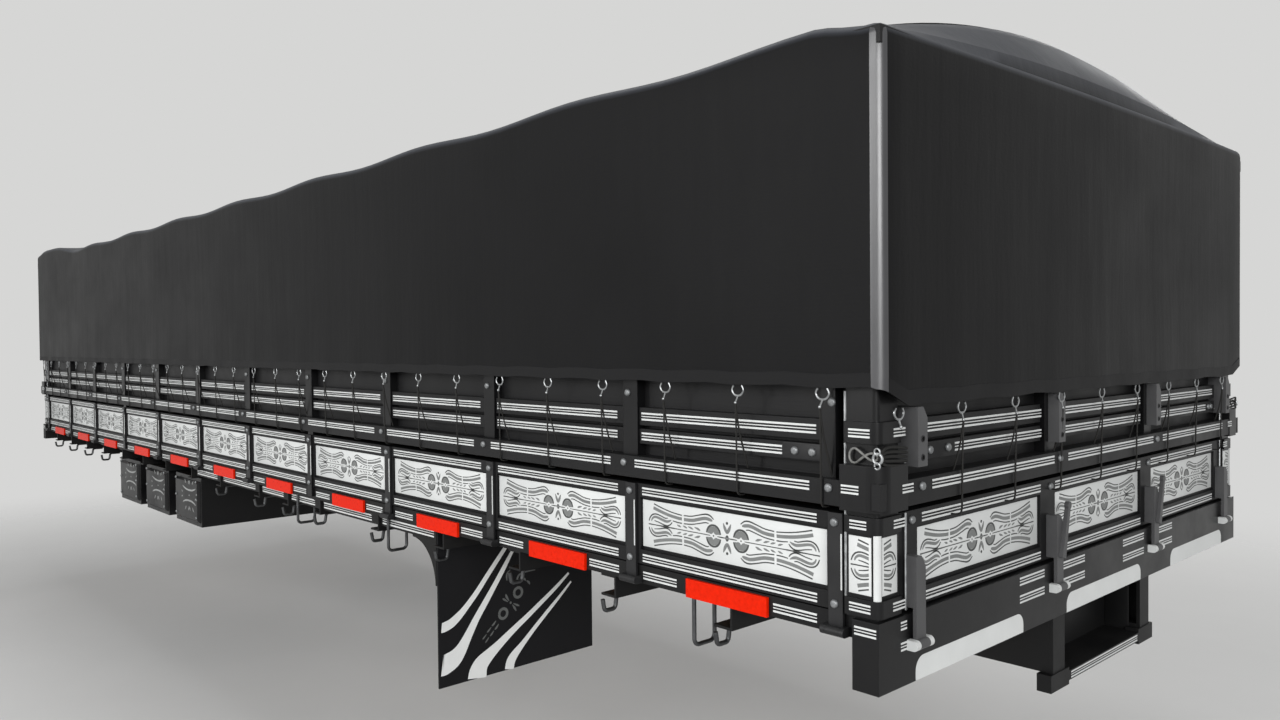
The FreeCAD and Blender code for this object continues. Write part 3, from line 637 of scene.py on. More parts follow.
def thicken(depth: float) -> None:
    """Makes the flat piece in edit mode a plate.

    Args:
        depth: how far it grows towards -Y, in mm.
    """
    pick_all()
    extrude((0.0, -depth, 0.0))
    outward()


def bevel(width: float, segments: int) -> None:
    """Bevels the selected edges by a width in mm."""
    bpy.ops.mesh.bevel(offset=width * MM, segments=segments)


def apply_modifier(piece: Piece, kind: str, **settings: Any) -> None:
    """Adds a modifier and applies it.

    Args:
        piece: the piece.
        kind: the modifier's type, such as "SOLIDIFY".
        settings: the modifier's own settings.
    """
    activate(piece)
    modifier = piece.modifiers.new(kind.title(), kind)
    for key, value in settings.items():
        setattr(modifier, key, value)
    bpy.ops.object.modifier_apply(modifier=modifier.name)


def stamp(name: str, parts: Sequence[tuple[Piece, Matrix]]) -> Piece:
    """Copies templates to their places, each with its own mesh, and joins them.

    Args:
        name: the new piece's name.
        parts: each template with the place of its copy.

    Returns:
        The joined piece.
    """
    copies = []
    for template, place in parts:
        mesh = template.data.copy()
        mesh.transform(place)
        copies.append(link(name, mesh))
    activate(copies[0])
    for copy in copies:
        copy.select_set(True)
    if len(copies) > 1:
        bpy.ops.object.join()
    copies[0].name = name
    return copies[0]


def discard(*templates: Piece) -> None:
    """Removes templates once their copies are placed."""
    for template in templates:
        bpy.data.objects.remove(template, do_unlink=True)


def merge(name: str, parts: Sequence[Piece]) -> Piece:
    """Joins parts where they lie into one template.

    Args:
        name: the template's name.
        parts: what is joined, and then removed.

    Returns:
        The template.
    """
    whole = stamp(name, [(part, Matrix()) for part in parts])
    discard(*parts)
    return whole


def shifted(x: float = 0.0, y: float = 0.0, z: float = 0.0) -> Matrix:
    """Gives the matrix of a shift in mm."""
    return Matrix.Translation(Vector((x, y, z)) * MM)


def rod(points: Sequence[Sequence[float]], radius: float, closed: bool = False) -> Piece:
    """Makes a round rod or cord along a smooth line, as a mesh.

    Args:
        points: the line's control points, in mm.
        radius: half its thickness, in mm.
        closed: whether the line runs back to its start.

    Returns:
        The rod.
    """
    curve = bpy.data.curves.new("rod", "CURVE")
    curve.dimensions = "3D"
    line = curve.splines.new("NURBS")
    line.points.add(len(points) - 1)
    for point, place in zip(line.points, points):
        point.co = (*(Vector(place) * MM), 1.0)
    line.order_u = 3
    line.use_endpoint_u = not closed
    line.use_cyclic_u = closed
    line.resolution_u = 4
    curve.bevel_depth = radius * MM
    curve.bevel_resolution = 1
    curve.use_fill_caps = True
    activate(link("rod", curve))
    bpy.ops.object.convert(target="MESH")
    piece = bpy.context.object
    with editing(piece):
        pick_all()
        bpy.ops.mesh.remove_doubles(threshold=WELD * MM)
        outward()
    return piece


def upright_rod(lifts: Sequence[float], radius: float) -> Piece:
    """Makes a straight upright rod through lifts above the sill's underside."""
    return rod([(0.0, 0.0, lift) for lift in lifts], radius)


def flow(stroke: Stroke, steps: int = 3) -> list[Vector]:
    """Runs a smooth line through the control points of a stroke.

    Args:
        stroke: x, z and width at each control point, in mm.
        steps: points to each span.

    Returns:
        The line's points.
    """
    points = [Vector(p) for p in stroke]
    ends = [2 * points[0] - points[1], *points, 2 * points[-1] - points[-2]]
    line = [0.5 * (2 * b + (c - a) * t + (2 * a - 5 * b + 4 * c - d) * t ** 2
                   + (3 * b - a - 3 * c + d) * t ** 3)
            for a, b, c, d in zip(ends, ends[1:], ends[2:], ends[3:])
            for t in (k / steps for k in range(steps))]
    return [*line, points[-1]]


def ribbon(stroke: Stroke, thick: float = 0.4) -> Piece:
    """Draws a flat brush stroke in the XZ plane by extruding its end edge along a smooth line.

    Args:
        stroke: x, z and width at each control point, in mm.
        thick: thickness of the paint.

    Returns:
        The stroke as a closed thin solid.
    """
    line = flow(stroke)
    points = [Vector((x, 0.0, z)) for x, z, _ in line]
    widths = [w for _, _, w in line]
    steps = [b - a for a, b in zip(points, points[1:])]
    slopes = [math.atan2(s.z, s.x) for s in steps]
    slopes = [slopes[0], *(a + math.remainder(b - a, math.tau) / 2 for a, b in zip(slopes, slopes[1:])),
              slopes[-1]]
    piece = begin("plane", (steps[0].length, widths[0], 1.0), (points[0] + points[1]) / 2,
                  (90.0, -math.degrees(slopes[0]), 0.0), size=1.0)
    with editing(piece, "EDGE"):
        pick(piece, "edges", lambda c, n: (c - points[1]).length < WELD)
        for k in range(1, len(points)):
            if k > 1:
                extrude(steps[k - 1])
            ratio = widths[k] / widths[k - 1]
            centre = points[k] * MM
            bpy.ops.transform.resize(value=(ratio, ratio, ratio), center_override=centre)
            bpy.ops.transform.rotate(value=math.remainder(slopes[k] - slopes[k - 1], math.tau),
                                     orient_axis="Y", center_override=centre)
        thicken(thick)
    return piece


def disc(x: float, z: float, radius: float, thick: float, vertices: int = 16) -> Piece:
    """Makes a round flat spot.

    Args:
        x: its middle's place along the face, in mm.
        z: its middle's height, in mm.
        radius: its radius, in mm.
        thick: its thickness, in mm.
        vertices: how many corners its outline has.

    Returns:
        The spot.
    """
    piece = begin("circle", at=(x, 0.0, z), turn=UPRIGHT, vertices=vertices, radius=radius,
                  fill_type="NGON")
    with editing(piece):
        thicken(thick)
    return piece


def slab(length: float, height: float, thick: float, corner: float = 0.0, ease: float = 0.7) -> Piece:
    """Makes an upright plate whose front edges are eased.

    Args:
        length: its length, in mm.
        height: its height, in mm.
        thick: its thickness, in mm.
        corner: bevel of its four corners, in mm.
        ease: bevel of its front edges, in mm.

    Returns:
        The plate.
    """
    piece = begin("plane", (length, height, 1.0), turn=UPRIGHT, size=1.0)
    with editing(piece, "EDGE"):
        thicken(thick)
        if corner:
            pick(piece, "edges", lambda c, n: abs(n.y) > FACING)
            bevel(corner, 3)
        pick(piece, "edges", lambda c, n: c.y < NEAR - thick)
        bevel(ease, 2)
    return piece


def dome(radius: float, height: float) -> Piece:
    """Makes a domed bolt head.

    Args:
        radius: its radius, in mm.
        height: its height, in mm.

    Returns:
        The head.
    """
    piece = begin("cylinder", at=(0.0, -height / 2, 0.0), turn=UPRIGHT, vertices=12, radius=radius,
                  depth=height)
    with editing(piece, "EDGE"):
        pick(piece, "edges", lambda c, n: c.y < NEAR - height)
        bevel(height * 0.75, 3)
    return piece


def ring(radius: float, wire: float, at: Sequence[float] = (0.0, 0.0, 0.0)) -> Piece:
    """Makes a closed ring of wire that faces -Y."""
    return begin("torus", at=at, turn=UPRIGHT, major_radius=radius, minor_radius=wire, major_segments=20,
                 minor_segments=8)


def mirrored(quarter: Sequence[Stroke], half: Sequence[Stroke], spots: Sequence[Point3],
             thick: float) -> Piece:
    """Draws one coat of an ornament that mirrors both ways.

    Args:
        quarter: strokes repeated in all four quarters.
        half: strokes on the long axis, repeated left and right.
        spots: x, z and radius of the round spots, repeated wherever they aren't on an axis.
        thick: thickness of the coat.

    Returns:
        The coat, with its middle at the origin.
    """
    layers = []
    for strokes, axes in ((quarter, (True, False, True)), (half, (True, False, False))):
        if strokes:
            layer = merge("layer", [ribbon(s, thick) for s in strokes])
            apply_modifier(layer, "MIRROR", use_axis=axes, use_mirror_merge=False)
            layers.append(layer)
    layers += [disc(a, b, r, thick) for x, z, r in spots for a in {x, -x} for b in {z, -z}]
    whole = merge("coat", layers)
    with editing(whole):
        outward()
    return whole


def smooth(part: float) -> float:
    """Eases 0..1 in and out, holding the ends."""
    part = min(1.0, max(0.0, part))
    return part * part * (3.0 - 2.0 * part)


@dataclass
class Assembly:
    """A sub-assembly of the dressing: it builds its pieces, then each is dressed and rides on a body."""

    made: list[str] = field(default_factory=list, init=False)

    def dress(self, piece: Piece, finish: Finish, body: str, slot: Slot) -> None:
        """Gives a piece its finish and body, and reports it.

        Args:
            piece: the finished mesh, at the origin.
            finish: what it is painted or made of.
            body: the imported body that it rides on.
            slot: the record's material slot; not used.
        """
        piece.data.materials.clear()
        piece.data.materials.append(finish.material())
        activate(piece)
        bpy.ops.object.shade_smooth_by_angle(angle=SMOOTH_ANGLE)
        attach(piece, body)
        self.made.append(piece.name)
        LOG.info("%s rides on %s: %d faces", piece.name, body, len(piece.data.polygons))

    def set_out(self, name: str, parts: Piece | Sequence[Piece], seats: Matrix | Sequence[Matrix],
                finish: Finish, body: str, slot: Slot) -> None:
        """Copies templates to every seat, as one piece, and dresses it.

        Args:
            name: the piece's name.
            parts: the templates that stand at every seat.
            seats: their places.
            finish: what the piece is painted or made of.
            body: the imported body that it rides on.
            slot: the record's material slot.
        """
        parts = [parts] if isinstance(parts, Piece) else parts
        seats = [seats] if isinstance(seats, Matrix) else seats
        self.dress(stamp(name, [(part, seat) for seat in seats for part in parts]), finish, body, slot)


# ---- painted lining --------------------------------------------------------------------
@dataclass(frozen=True)
class LineSet:
    """Where a set of three lines runs on one face."""

    face: Face
    start: float
    end: float
    lift: float
    proud: float
    height: float = 22.0

    @property
    def length(self) -> float:
        """Length of the set, to the nearest half millimetre."""
        return round(abs(self.end - self.start) * 2) / 2

    def place(self) -> Matrix:
        """Seats the set's middle on its face."""
        return self.face.place((self.start + self.end) / 2, self.proud, self.lift)


@dataclass
class Lining(Assembly):
    """The coachlines: sets of two broad lines with a fine one between them, brushed on every rail."""

    broad: float = 5.0 / 22.0
    fine: float = 2.5
    paint: float = 0.8
    lead: float = 29.5
    trail: float = 9.0
    short: float = 133.0
    short_lead: float = 34.0
    short_trail: float = 4.0
    low: float = 20.0
    wheel_height: float = 26.0
    wheel_lift: float = -22.0
    wheel_room: Pair = (32.5, 46.5)
    bracket: float = 100.0
    gate_lifts: Pair = (264.0, 75.0)
    upper_lifts: Pair = (475.0, 419.0)
    outer: Pair = (345.0, 28.0)
    sill: Pair = (24.0, -5.0)
    beam_proud: float = 16.0
    beam_lifts: Pair = (30.0, -18.0)
    # From, to, lift and how far proud: on the corner posts' sides and backs, along the rear rails and gate.
    side_posts: tuple[Row, ...] = (
        (10, 67, 474, 12), (28, 75, 347, 30), (20, 65, 266, 12), (10, 67, 78, 12), (-10, 48, 28, 20))
    rear_posts: tuple[Row, ...] = (
        (1172, 1124, 474, 12), (1165, 1120, 347, 30), (1173, 1128, 266, 12), (1177, 1127, 78, 12),
        (1152, 1127, 30, 16), (1152, 1127, -18, 16))
    rear_rails: tuple[Row, ...] = (
        (1034, 408, 475, 0), (881, 408, 419, 0), (318, -318, 475, 0), (318, -318, 419, 0),
        (-408, -1034, 475, 0), (-408, -960, 419, 0), (1034, 387, 345, 28), (296, -355, 345, 28),
        (-443, -1060, 345, 28))
    rear_beam: tuple[Pair, ...] = ((570, 424), (303, 157), (-133, -305), (-425, -563))
    rear_gate: tuple[Pair, ...] = ((1034, 412), (320, -320), (-412, -1034))
    tail_plate: Row = (250, -250, -297, 16)
    members: Row = (2366.0, 2897.0, 3238.0, 3580.0, 4105.0)
    templates: dict[Pair, Piece] = field(default_factory=dict)

    def template(self, length: float, height: float) -> Piece:
        """Cuts one set from a strip: it is split at each line's edges and the gaps are taken out.

        Args:
            length: the set's length, in mm.
            height: its height over both broad lines, in mm.

        Returns:
            The set, made once for each size.
        """
        key = (length, height)
        if key not in self.templates:
            piece = begin("plane", (length, height, 1.0), turn=UPRIGHT, size=1.0)
            inner, edge = self.fine / 2, height / 2 - self.broad * height
            with editing(piece):
                for z in (-edge, -inner, inner, edge):
                    cut(2, z)
                pick(piece, "faces", lambda c, n: inner < abs(c.z) < edge)
                bpy.ops.mesh.delete(type="FACE")
                thicken(self.paint)
            self.templates[key] = piece
        return self.templates[key]

    def gate_sets(self, side: Face, gate: Gate) -> list[LineSet]:
        """Gives the sets on the two rails of a side gate."""
        return [LineSet(side, a + self.lead, a + LAY.panel - self.trail, lift, 0.0)
                for a in map(LAY.bay_start, LAY.bays_of(gate)) for lift in self.gate_lifts]

    def side_sets(self, side: Face) -> list[LineSet]:
        """Gives the sets on the fixed rails, the sill and the corner posts of one side.

        Args:
            side: the side.

        Returns:
            The sets.
        """
        sets = []
        top, second = self.upper_lifts
        for bay in range(LAY.bays):
            a = LAY.bay_start(bay)
            start, end = a + self.lead, a + LAY.panel - self.trail
            past_bracket = start + (0.0 if bay else self.bracket)
            near, far = a + self.short_lead, end + self.short_trail
            sets += [LineSet(side, start, end, top, 0.0), LineSet(side, past_bracket, end, second, 0.0),
                     LineSet(side, start, end, *self.outer),
                     LineSet(side, near, near + self.short, *self.sill),
                     LineSet(side, far - self.short, far, *self.sill)]
        for a, b, *where in self.side_posts:
            sets += [LineSet(side, start, end, *where, self.low)
                     for start, end in ((a, b), (LAY.length - b, LAY.length - a))]
        return sets

    def wheel_rail_sets(self, side: Face) -> list[LineSet]:
        """Gives the sets on the rail over the wheels, one length between each two cross-members.

        Args:
            side: the side.

        Returns:
            The sets.
        """
        low, high = (v + LAY.half for v in span("wheel_rails", 0))
        out = span("wheel_rails", 1)[1] - LAY.wall
        half_member, room = self.wheel_room
        ends = [low - half_member, *(s for s in self.members if low < s < high), high + half_member]
        return [LineSet(side, a + room, b - room, self.wheel_lift, out, self.wheel_height)
                for a, b in zip(ends, ends[1:])]

    def rear_sets(self) -> list[LineSet]:
        """Gives the sets on the fixed rear parts.

        Returns:
            The sets.
        """
        sets = [LineSet(Face.REAR, *rail) for rail in self.rear_rails]
        sets += [LineSet(Face.REAR, *ends, lift, self.beam_proud) for ends in self.rear_beam
                 for lift in self.beam_lifts]
        sets += [LineSet(Face.REAR, a * s, b * s, *where, self.low) for a, b, *where in self.rear_posts
                 for s in (1, -1)]
        return [*sets, LineSet(Face.REAR, *self.tail_plate, self.low)]

    def make(self) -> None:
        """Paints the sets on each body."""
        fixed = self.rear_sets()
        for side in SIDES:
            fixed += self.side_sets(side) + self.wheel_rail_sets(side)
            for gate in Gate:
                self.paint_sets(f"gate_{side.word}_{gate.value}", self.gate_sets(side, gate),
                                gate_body(side, gate))
        self.paint_sets("bed", fixed, BED)
        rear = [LineSet(Face.REAR, *ends, lift, 0.0) for lift in self.gate_lifts for ends in self.rear_gate]
        self.paint_sets("tailgate", rear, TAILGATE)
        discard(*self.templates.values())

    def paint_sets(self, word: str, sets: Sequence[LineSet], body: str) -> None:
        """Copies the sets of one body to their places and finishes them."""
        lines = [(self.template(s.length, s.height), s.place()) for s in sets]
        self.dress(stamp(f"lining_{word}", lines), LINING, body, Slot.TRIM)


# ---- sunk panels and their ornament ----------------------------------------------------
# One quarter of the panel ornament, as control points (x, z, width) of brush strokes from its middle.
FILLS: tuple[Stroke, ...] = (
    ((51.5, 38.6, 3), (58, 40.4, 8), (75, 42.6, 9), (93, 39.3, 9), (117.5, 32.5, 9), (136, 30, 9),
     (156.5, 29.6, 9)),
    ((164, 29.6, 8.6), (184, 30.6, 8.6), (217, 34.5, 8.6), (250, 41, 8.8), (275.5, 47.2, 9)),
    ((205, 21.5, 2), (213, 17.6, 6), (224, 15.2, 7.5), (240, 17.8, 7.5), (258, 21.8, 7), (271, 22.3, 6.5),
     (280, 17, 5.5), (284, 9.5, 3)),
    ((25, 7, 5), (31, 11.5, 15), (38.5, 13.8, 19.5), (47.8, 18, 14), (57, 13.8, 19.5), (64.5, 11.5, 15),
     (70.5, 7, 5)),
    ((1.6, 12, 3), (4, 19, 9), (9, 28, 8), (13, 38, 2.5)),
    ((96, 7.4, 2), (104, 10.6, 6.5), (117, 13.6, 1.6)), ((122, 7.2, 2), (130, 9.8, 5.6), (141.5, 12.3, 1.5)),
    ((145, 7.2, 2), (151.5, 9.5, 5.2), (160.5, 11.8, 1.4)),
    ((168, 7.2, 2), (174.5, 9.3, 5.2), (183.5, 11.4, 1.4)))
LINES: tuple[Stroke, ...] = (
    ((47, 43.5, 2.5), (60, 52, 3.8), (76, 53.8, 4), (101, 48.3, 3.2), (128, 41.8, 3), (156.5, 40, 3)),
    ((65, 30.3, 2.5), (76, 31.4, 3), (101, 25.8, 3), (128, 20, 3), (156.5, 18, 3)),
    ((164, 39.6, 3), (200, 43, 3), (236, 49.5, 3.2), (273, 58.4, 3.6)),
    ((164, 18, 3), (181, 18.3, 3), (199, 20.2, 2.4)),
    ((219, 25, 2.5), (230, 24, 3), (250, 29, 3.4), (266, 31, 3.6), (280, 27.5, 3.8), (289, 19, 3.6),
     (293.5, 9, 2.6)),
    ((202, 15.5, 2.6), (209, 8.5, 3.4), (221, 3.4, 3.8), (236, 5, 3.2), (253, 9, 2.8), (272, 11.8, 2.2)),
    ((22.5, 6, 3.5), (27, 17, 5), (36, 25.5, 5), (47.8, 28, 5), (59.6, 25.5, 5), (68.6, 17, 5), (73, 6, 3.5)))
STEM: tuple[Stroke, ...] = (
    ((6, 0, 2.2), (20, 0, 3.2), (34, 0, 2)), ((60, 0, 2), (90, 0, 2.2), (180, 0, 2.2), (198, 0, 3.4),
     (214, 0, 3.2), (226, 0, 8), (238, 0, 4), (262, 0, 2.8), (295, 0, 3.2)))
FILL_SPOTS: tuple[Point3, ...] = ((0.0, 0.0, 7.0),)
LINE_SPOTS: tuple[Point3, ...] = ((0.0, 39.3, 3.8), (0.0, 5.0, 3.2), (47.8, 0.0, 2.2))


@dataclass
class Ornament(Assembly):
    """Pale ground plates in the sunk panels, each with a band-and-leaf ornament that mirrors both ways."""

    height: float = 132.0
    ground: float = 2.0
    fill: float = 0.3
    line: float = 0.6
    lift: float = 173.0
    sunk: float = -10.0
    room: float = 4.0
    rear_gap: float = 92.7
    corner: float = 60.0
    corner_proud: float = 4.0
    corner_in: float = 42.0
    corner_y: float = 1180.0
    cut_at: float = 243.0
    cut_stretch: float = 0.93
    cut_shift: float = -24.0

    def plate(self, length: float) -> Piece:
        """Makes a ground plate with eased edges."""
        return slab(length, self.height, self.ground)

    def end_of(self, coat: Piece) -> Piece:
        """Cuts off the open end of a coat: the corner posts carry that end alone.

        Args:
            coat: the whole coat.

        Returns:
            Its end, with the cut at the origin.
        """
        piece = stamp("end", [(coat, shifted(-self.cut_at))])
        with editing(piece):
            cut(0, 0.0, use_fill=True, clear_inner=True)
            pick_all()
            bpy.ops.transform.resize(value=(self.cut_stretch, 1.0, 1.0), center_override=(0.0, 0.0, 0.0))
        return piece

    def make(self) -> None:
        """Lays the plates, the grey coat and the dark lines on every gate and corner."""
        side_plate, rear_plate, corner_plate = (self.plate(length) for length in (
            LAY.panel - self.room, LAY.rear_pitch - self.rear_gap - self.room, self.corner))
        coats = {"fill": mirrored(FILLS, (), FILL_SPOTS, self.fill),
                 "line": mirrored(LINES, STEM, LINE_SPOTS, self.line)}
        ends = {kind: self.end_of(coat) for kind, coat in coats.items()}
        for side in SIDES:
            for gate in Gate:
                middles = [LAY.bay_start(bay) + LAY.panel / 2 for bay in LAY.bays_of(gate)]
                self.lay(f"{side.word}_{gate.value}", gate_body(side, gate), side_plate, coats, side, middles)
        middles = (-LAY.rear_pitch, 0.0, LAY.rear_pitch)
        self.lay("tailgate", TAILGATE, rear_plate, coats, Face.REAR, middles)
        self.corners(corner_plate, ends)
        discard(side_plate, rear_plate, corner_plate, *coats.values(), *ends.values())

    def lay(self, name: str, body: str, plate: Piece, coats: dict[str, Piece], face: Face,
            middles: Sequence[float]) -> None:
        """Lays one body's ground plates and both coats on them.

        Args:
            name: what the pieces are called after.
            body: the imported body.
            plate: the ground plate.
            coats: the grey coat and the dark lines.
            face: the side they face.
            middles: each panel's middle along that side, in mm.
        """
        seats = [face.place(middle, self.sunk, self.lift) for middle in middles]
        self.set_out(f"ground_{name}", plate, seats, GROUND, body, Slot.TRIM)
        above = [seat @ shifted(y=-self.ground) for seat in seats]
        for (kind, coat), finish in zip(coats.items(), (STROKE, CONTOUR)):
            self.set_out(f"ornament_{kind}_{name}", coat, above, finish, body, Slot.TRIM)

    def corners(self, plate: Piece, ends: dict[str, Piece]) -> None:
        """Dresses both faces of each corner post, the ornament's end opening away from the corner.

        Args:
            plate: the ground plate.
            ends: the cut ends of the grey coat and the dark lines.
        """
        faces = [(side, s, way * turn) for side, turn in ((Face.LEFT, -1), (Face.RIGHT, 1))
                 for s, way in ((self.corner_in, 1), (LAY.length - self.corner_in, -1))]
        faces += [(end, y, way) for end, turn in ((Face.REAR, 1), (Face.FRONT, -1))
                  for y, way in ((self.corner_y, turn), (-self.corner_y, -turn))]
        seats = [face.place(along, self.corner_proud, self.lift) for face, along, _ in faces]
        self.set_out("ground_corners", plate, seats, GROUND, BED, Slot.TRIM)
        above = [seat @ shifted(self.cut_shift * way, -self.ground)
                 @ Matrix.Rotation(0.0 if way > 0 else math.pi, 4, "Y")
                 for seat, (_, _, way) in zip(seats, faces)]
        for (kind, end), finish in zip(ends.items(), (STROKE, CONTOUR)):
            self.set_out(f"ornament_{kind}_corners", end, above, finish, BED, Slot.TRIM)


# ---- bolts, brackets and rods ----------------------------------------------------------
@dataclass
class Ironmongery(Assembly):
    """Bolt heads, pale rods of painted highlight on the straps' edges, the two rail brackets, the corner
    rods, and the holes of the keeper plates with painted shade in them.
    """

    bolt: Pair = (10.5, 7.0)
    end_stake: float = 110.0
    stake_in: float = 3.0
    strap_proud: float = 8.0
    strap_lifts: Pair = (263.0, 73.0)
    # How far along from a stake, how far proud, and the lift, of the bolts on the fixed rails.
    rail_bolts: tuple[Point3, ...] = ((1.0, 28.0, 345.0), (6.0, 6.0, 541.0))
    bracket_bolts: Pair = (175.0, 227.0)
    bracket_lift: float = 420.0
    bracket_at: float = 207.0
    bracket: Point3 = (119.0, 40.0, 3.0)
    bracket_corner: float = 6.0
    bracket_ease: float = 0.8
    rear_stakes: Row = (1079.0, 351.0, -387.0)
    rear_rail_bolts: Row = (998.0, 914.0, -985.0, -1015.0)
    # Painted highlight: a pale rod stands for the light on a strap's edge: how far along from the stake, its
    # radius, and its lifts.
    strap_highlight: Pair = (-19.0, 1.8)
    strap_highlight_lifts: Row = (108.0, 172.0, 238.0)
    rod_r: float = 3.0
    side_rod: Row = (58.0, 300.0, 568.0)
    side_rod_at: Pair = (80.5, 5.0)
    gate_rod: Row = (58.0, 284.0)
    upper_rod: Row = (300.0, 401.0)
    rear_rod_at: Pair = (1112.0, 4.0)
    hole_r: float = 6.5
    hole_rim: float = 1.6
    hole_depth: float = 0.6
    hole_lifts: Pair = (413.0, 456.0)
    keeper_proud: float = 38.0
    keeper_in: float = 20.0
    keeper_shift: float = -10.0

    def stakes(self) -> list[float]:
        """Stations of the stakes, end straps included.

        Returns:
            The stations, from the rear.
        """
        gap = LAY.pitch - LAY.panel
        inner = [LAY.bay_start(bay) - gap / 2 + self.stake_in for bay in range(1, LAY.bays)]
        return [self.end_stake, *inner, LAY.length - self.end_stake]

    def stake_body(self, side: Face, stake: int) -> str:
        """Names the body that carries the strap at a stake: the bed at the two fixed posts."""
        return BED if stake in LAY.posts else gate_body(side, LAY.gate_of(stake))

    def make(self) -> None:
        """Builds and places every fixing."""
        bolt = dome(*self.bolt)
        # The pale rods on the straps' edges are painted highlights, in the lining enamel.
        along, radius = self.strap_highlight
        line = upright_rod(self.strap_highlight_lifts, radius)
        bolts: dict[str, list[Matrix]] = {BED: [], TAILGATE: []}
        lines: dict[str, list[Matrix]] = {}
        for side in SIDES:
            for number, station in enumerate(self.stakes()):
                body = self.stake_body(side, number)
                bolts.setdefault(body, []).extend(
                    side.place(station, self.strap_proud, lift) for lift in self.strap_lifts)
                lines.setdefault(body, []).append(side.place(station + along, self.strap_proud, 0.0))
                bolts[BED] += [side.place(station + far, proud, lift) for far, proud, lift in self.rail_bolts]
            bolts[BED] += [side.place(s, self.bracket[2], self.bracket_lift) for s in self.bracket_bolts]
        _, proud, lift = self.rail_bolts[0]
        bolts[BED] += [Face.REAR.place(y, proud, lift) for y in self.rear_stakes]
        bolts[BED] += [Face.REAR.place(y, 0.0, self.bracket_lift) for y in self.rear_rail_bolts]
        bolts[TAILGATE] += [Face.REAR.place(y, 0.0, self.strap_lifts[0]) for y in self.rear_stakes]
        for body, seats in bolts.items():
            self.set_out(f"bolts_{body}", bolt, seats, BOLT, body, Slot.ZINC)
        for body, seats in lines.items():
            self.set_out(f"strap_edges_{body}", line, seats, LINING, body, Slot.TRIM)
        self.corner_rods()
        self.rail_brackets()
        self.keeper_holes()
        discard(bolt, line)

    def corner_rods(self) -> None:
        """Stands a bright rod beside each corner post, on the side and on the end."""
        upright, lower, upper = (upright_rod(lifts, self.rod_r)
                                 for lifts in (self.side_rod, self.gate_rod, self.upper_rod))
        station, proud = self.side_rod_at
        sides = [side.place(s, proud, 0.0) for side in SIDES for s in (station, LAY.length - station)]
        y, proud = self.rear_rod_at
        ends = [Face.REAR.place(across, proud, 0.0) for across in (y, -y)]
        rods = stamp("corner_rods", [(upright, s) for s in sides] + [(upper, s) for s in ends])
        self.dress(rods, ZINC, BED, Slot.ZINC)
        self.set_out("tailgate_rods", lower, ends, ZINC, TAILGATE, Slot.ZINC)
        discard(upright, lower, upper)

    def rail_brackets(self) -> None:
        """Makes the flat bracket that joins the second rail to the end stake."""
        plate = slab(*self.bracket, corner=self.bracket_corner, ease=self.bracket_ease)
        seats = [side.place(self.bracket_at, 0.0, self.bracket_lift) for side in SIDES]
        self.set_out("rail_brackets", plate, seats, IRON, BED, Slot.IRON)
        discard(plate)

    def keeper_holes(self) -> None:
        """Marks the two bolt holes of each keeper plate with a countersunk rim and a near-black disc, painted
        shade in the hole.
        """
        rim = ring(self.hole_r, self.hole_rim)
        bore_shade = disc(0.0, 0.0, self.hole_r, self.hole_depth, vertices=20)
        outer, inner = span("rear_keeper_plates", 1)[1] - self.keeper_in, LAY.rear_pitch / 2
        seats = [Face.REAR.place(y, self.keeper_proud, lift)
                 for y in (outer, inner + self.keeper_shift, -inner + self.keeper_shift, -outer)
                 for lift in self.hole_lifts]
        self.set_out("keeper_rims", rim, seats, IRON, BED, Slot.IRON)
        # The near-black discs are painted shade inside the holes.
        self.set_out("keeper_bore_shades", bore_shade, seats, HOLE_SHADE, BED, Slot.IRON)
        discard(rim, bore_shade)


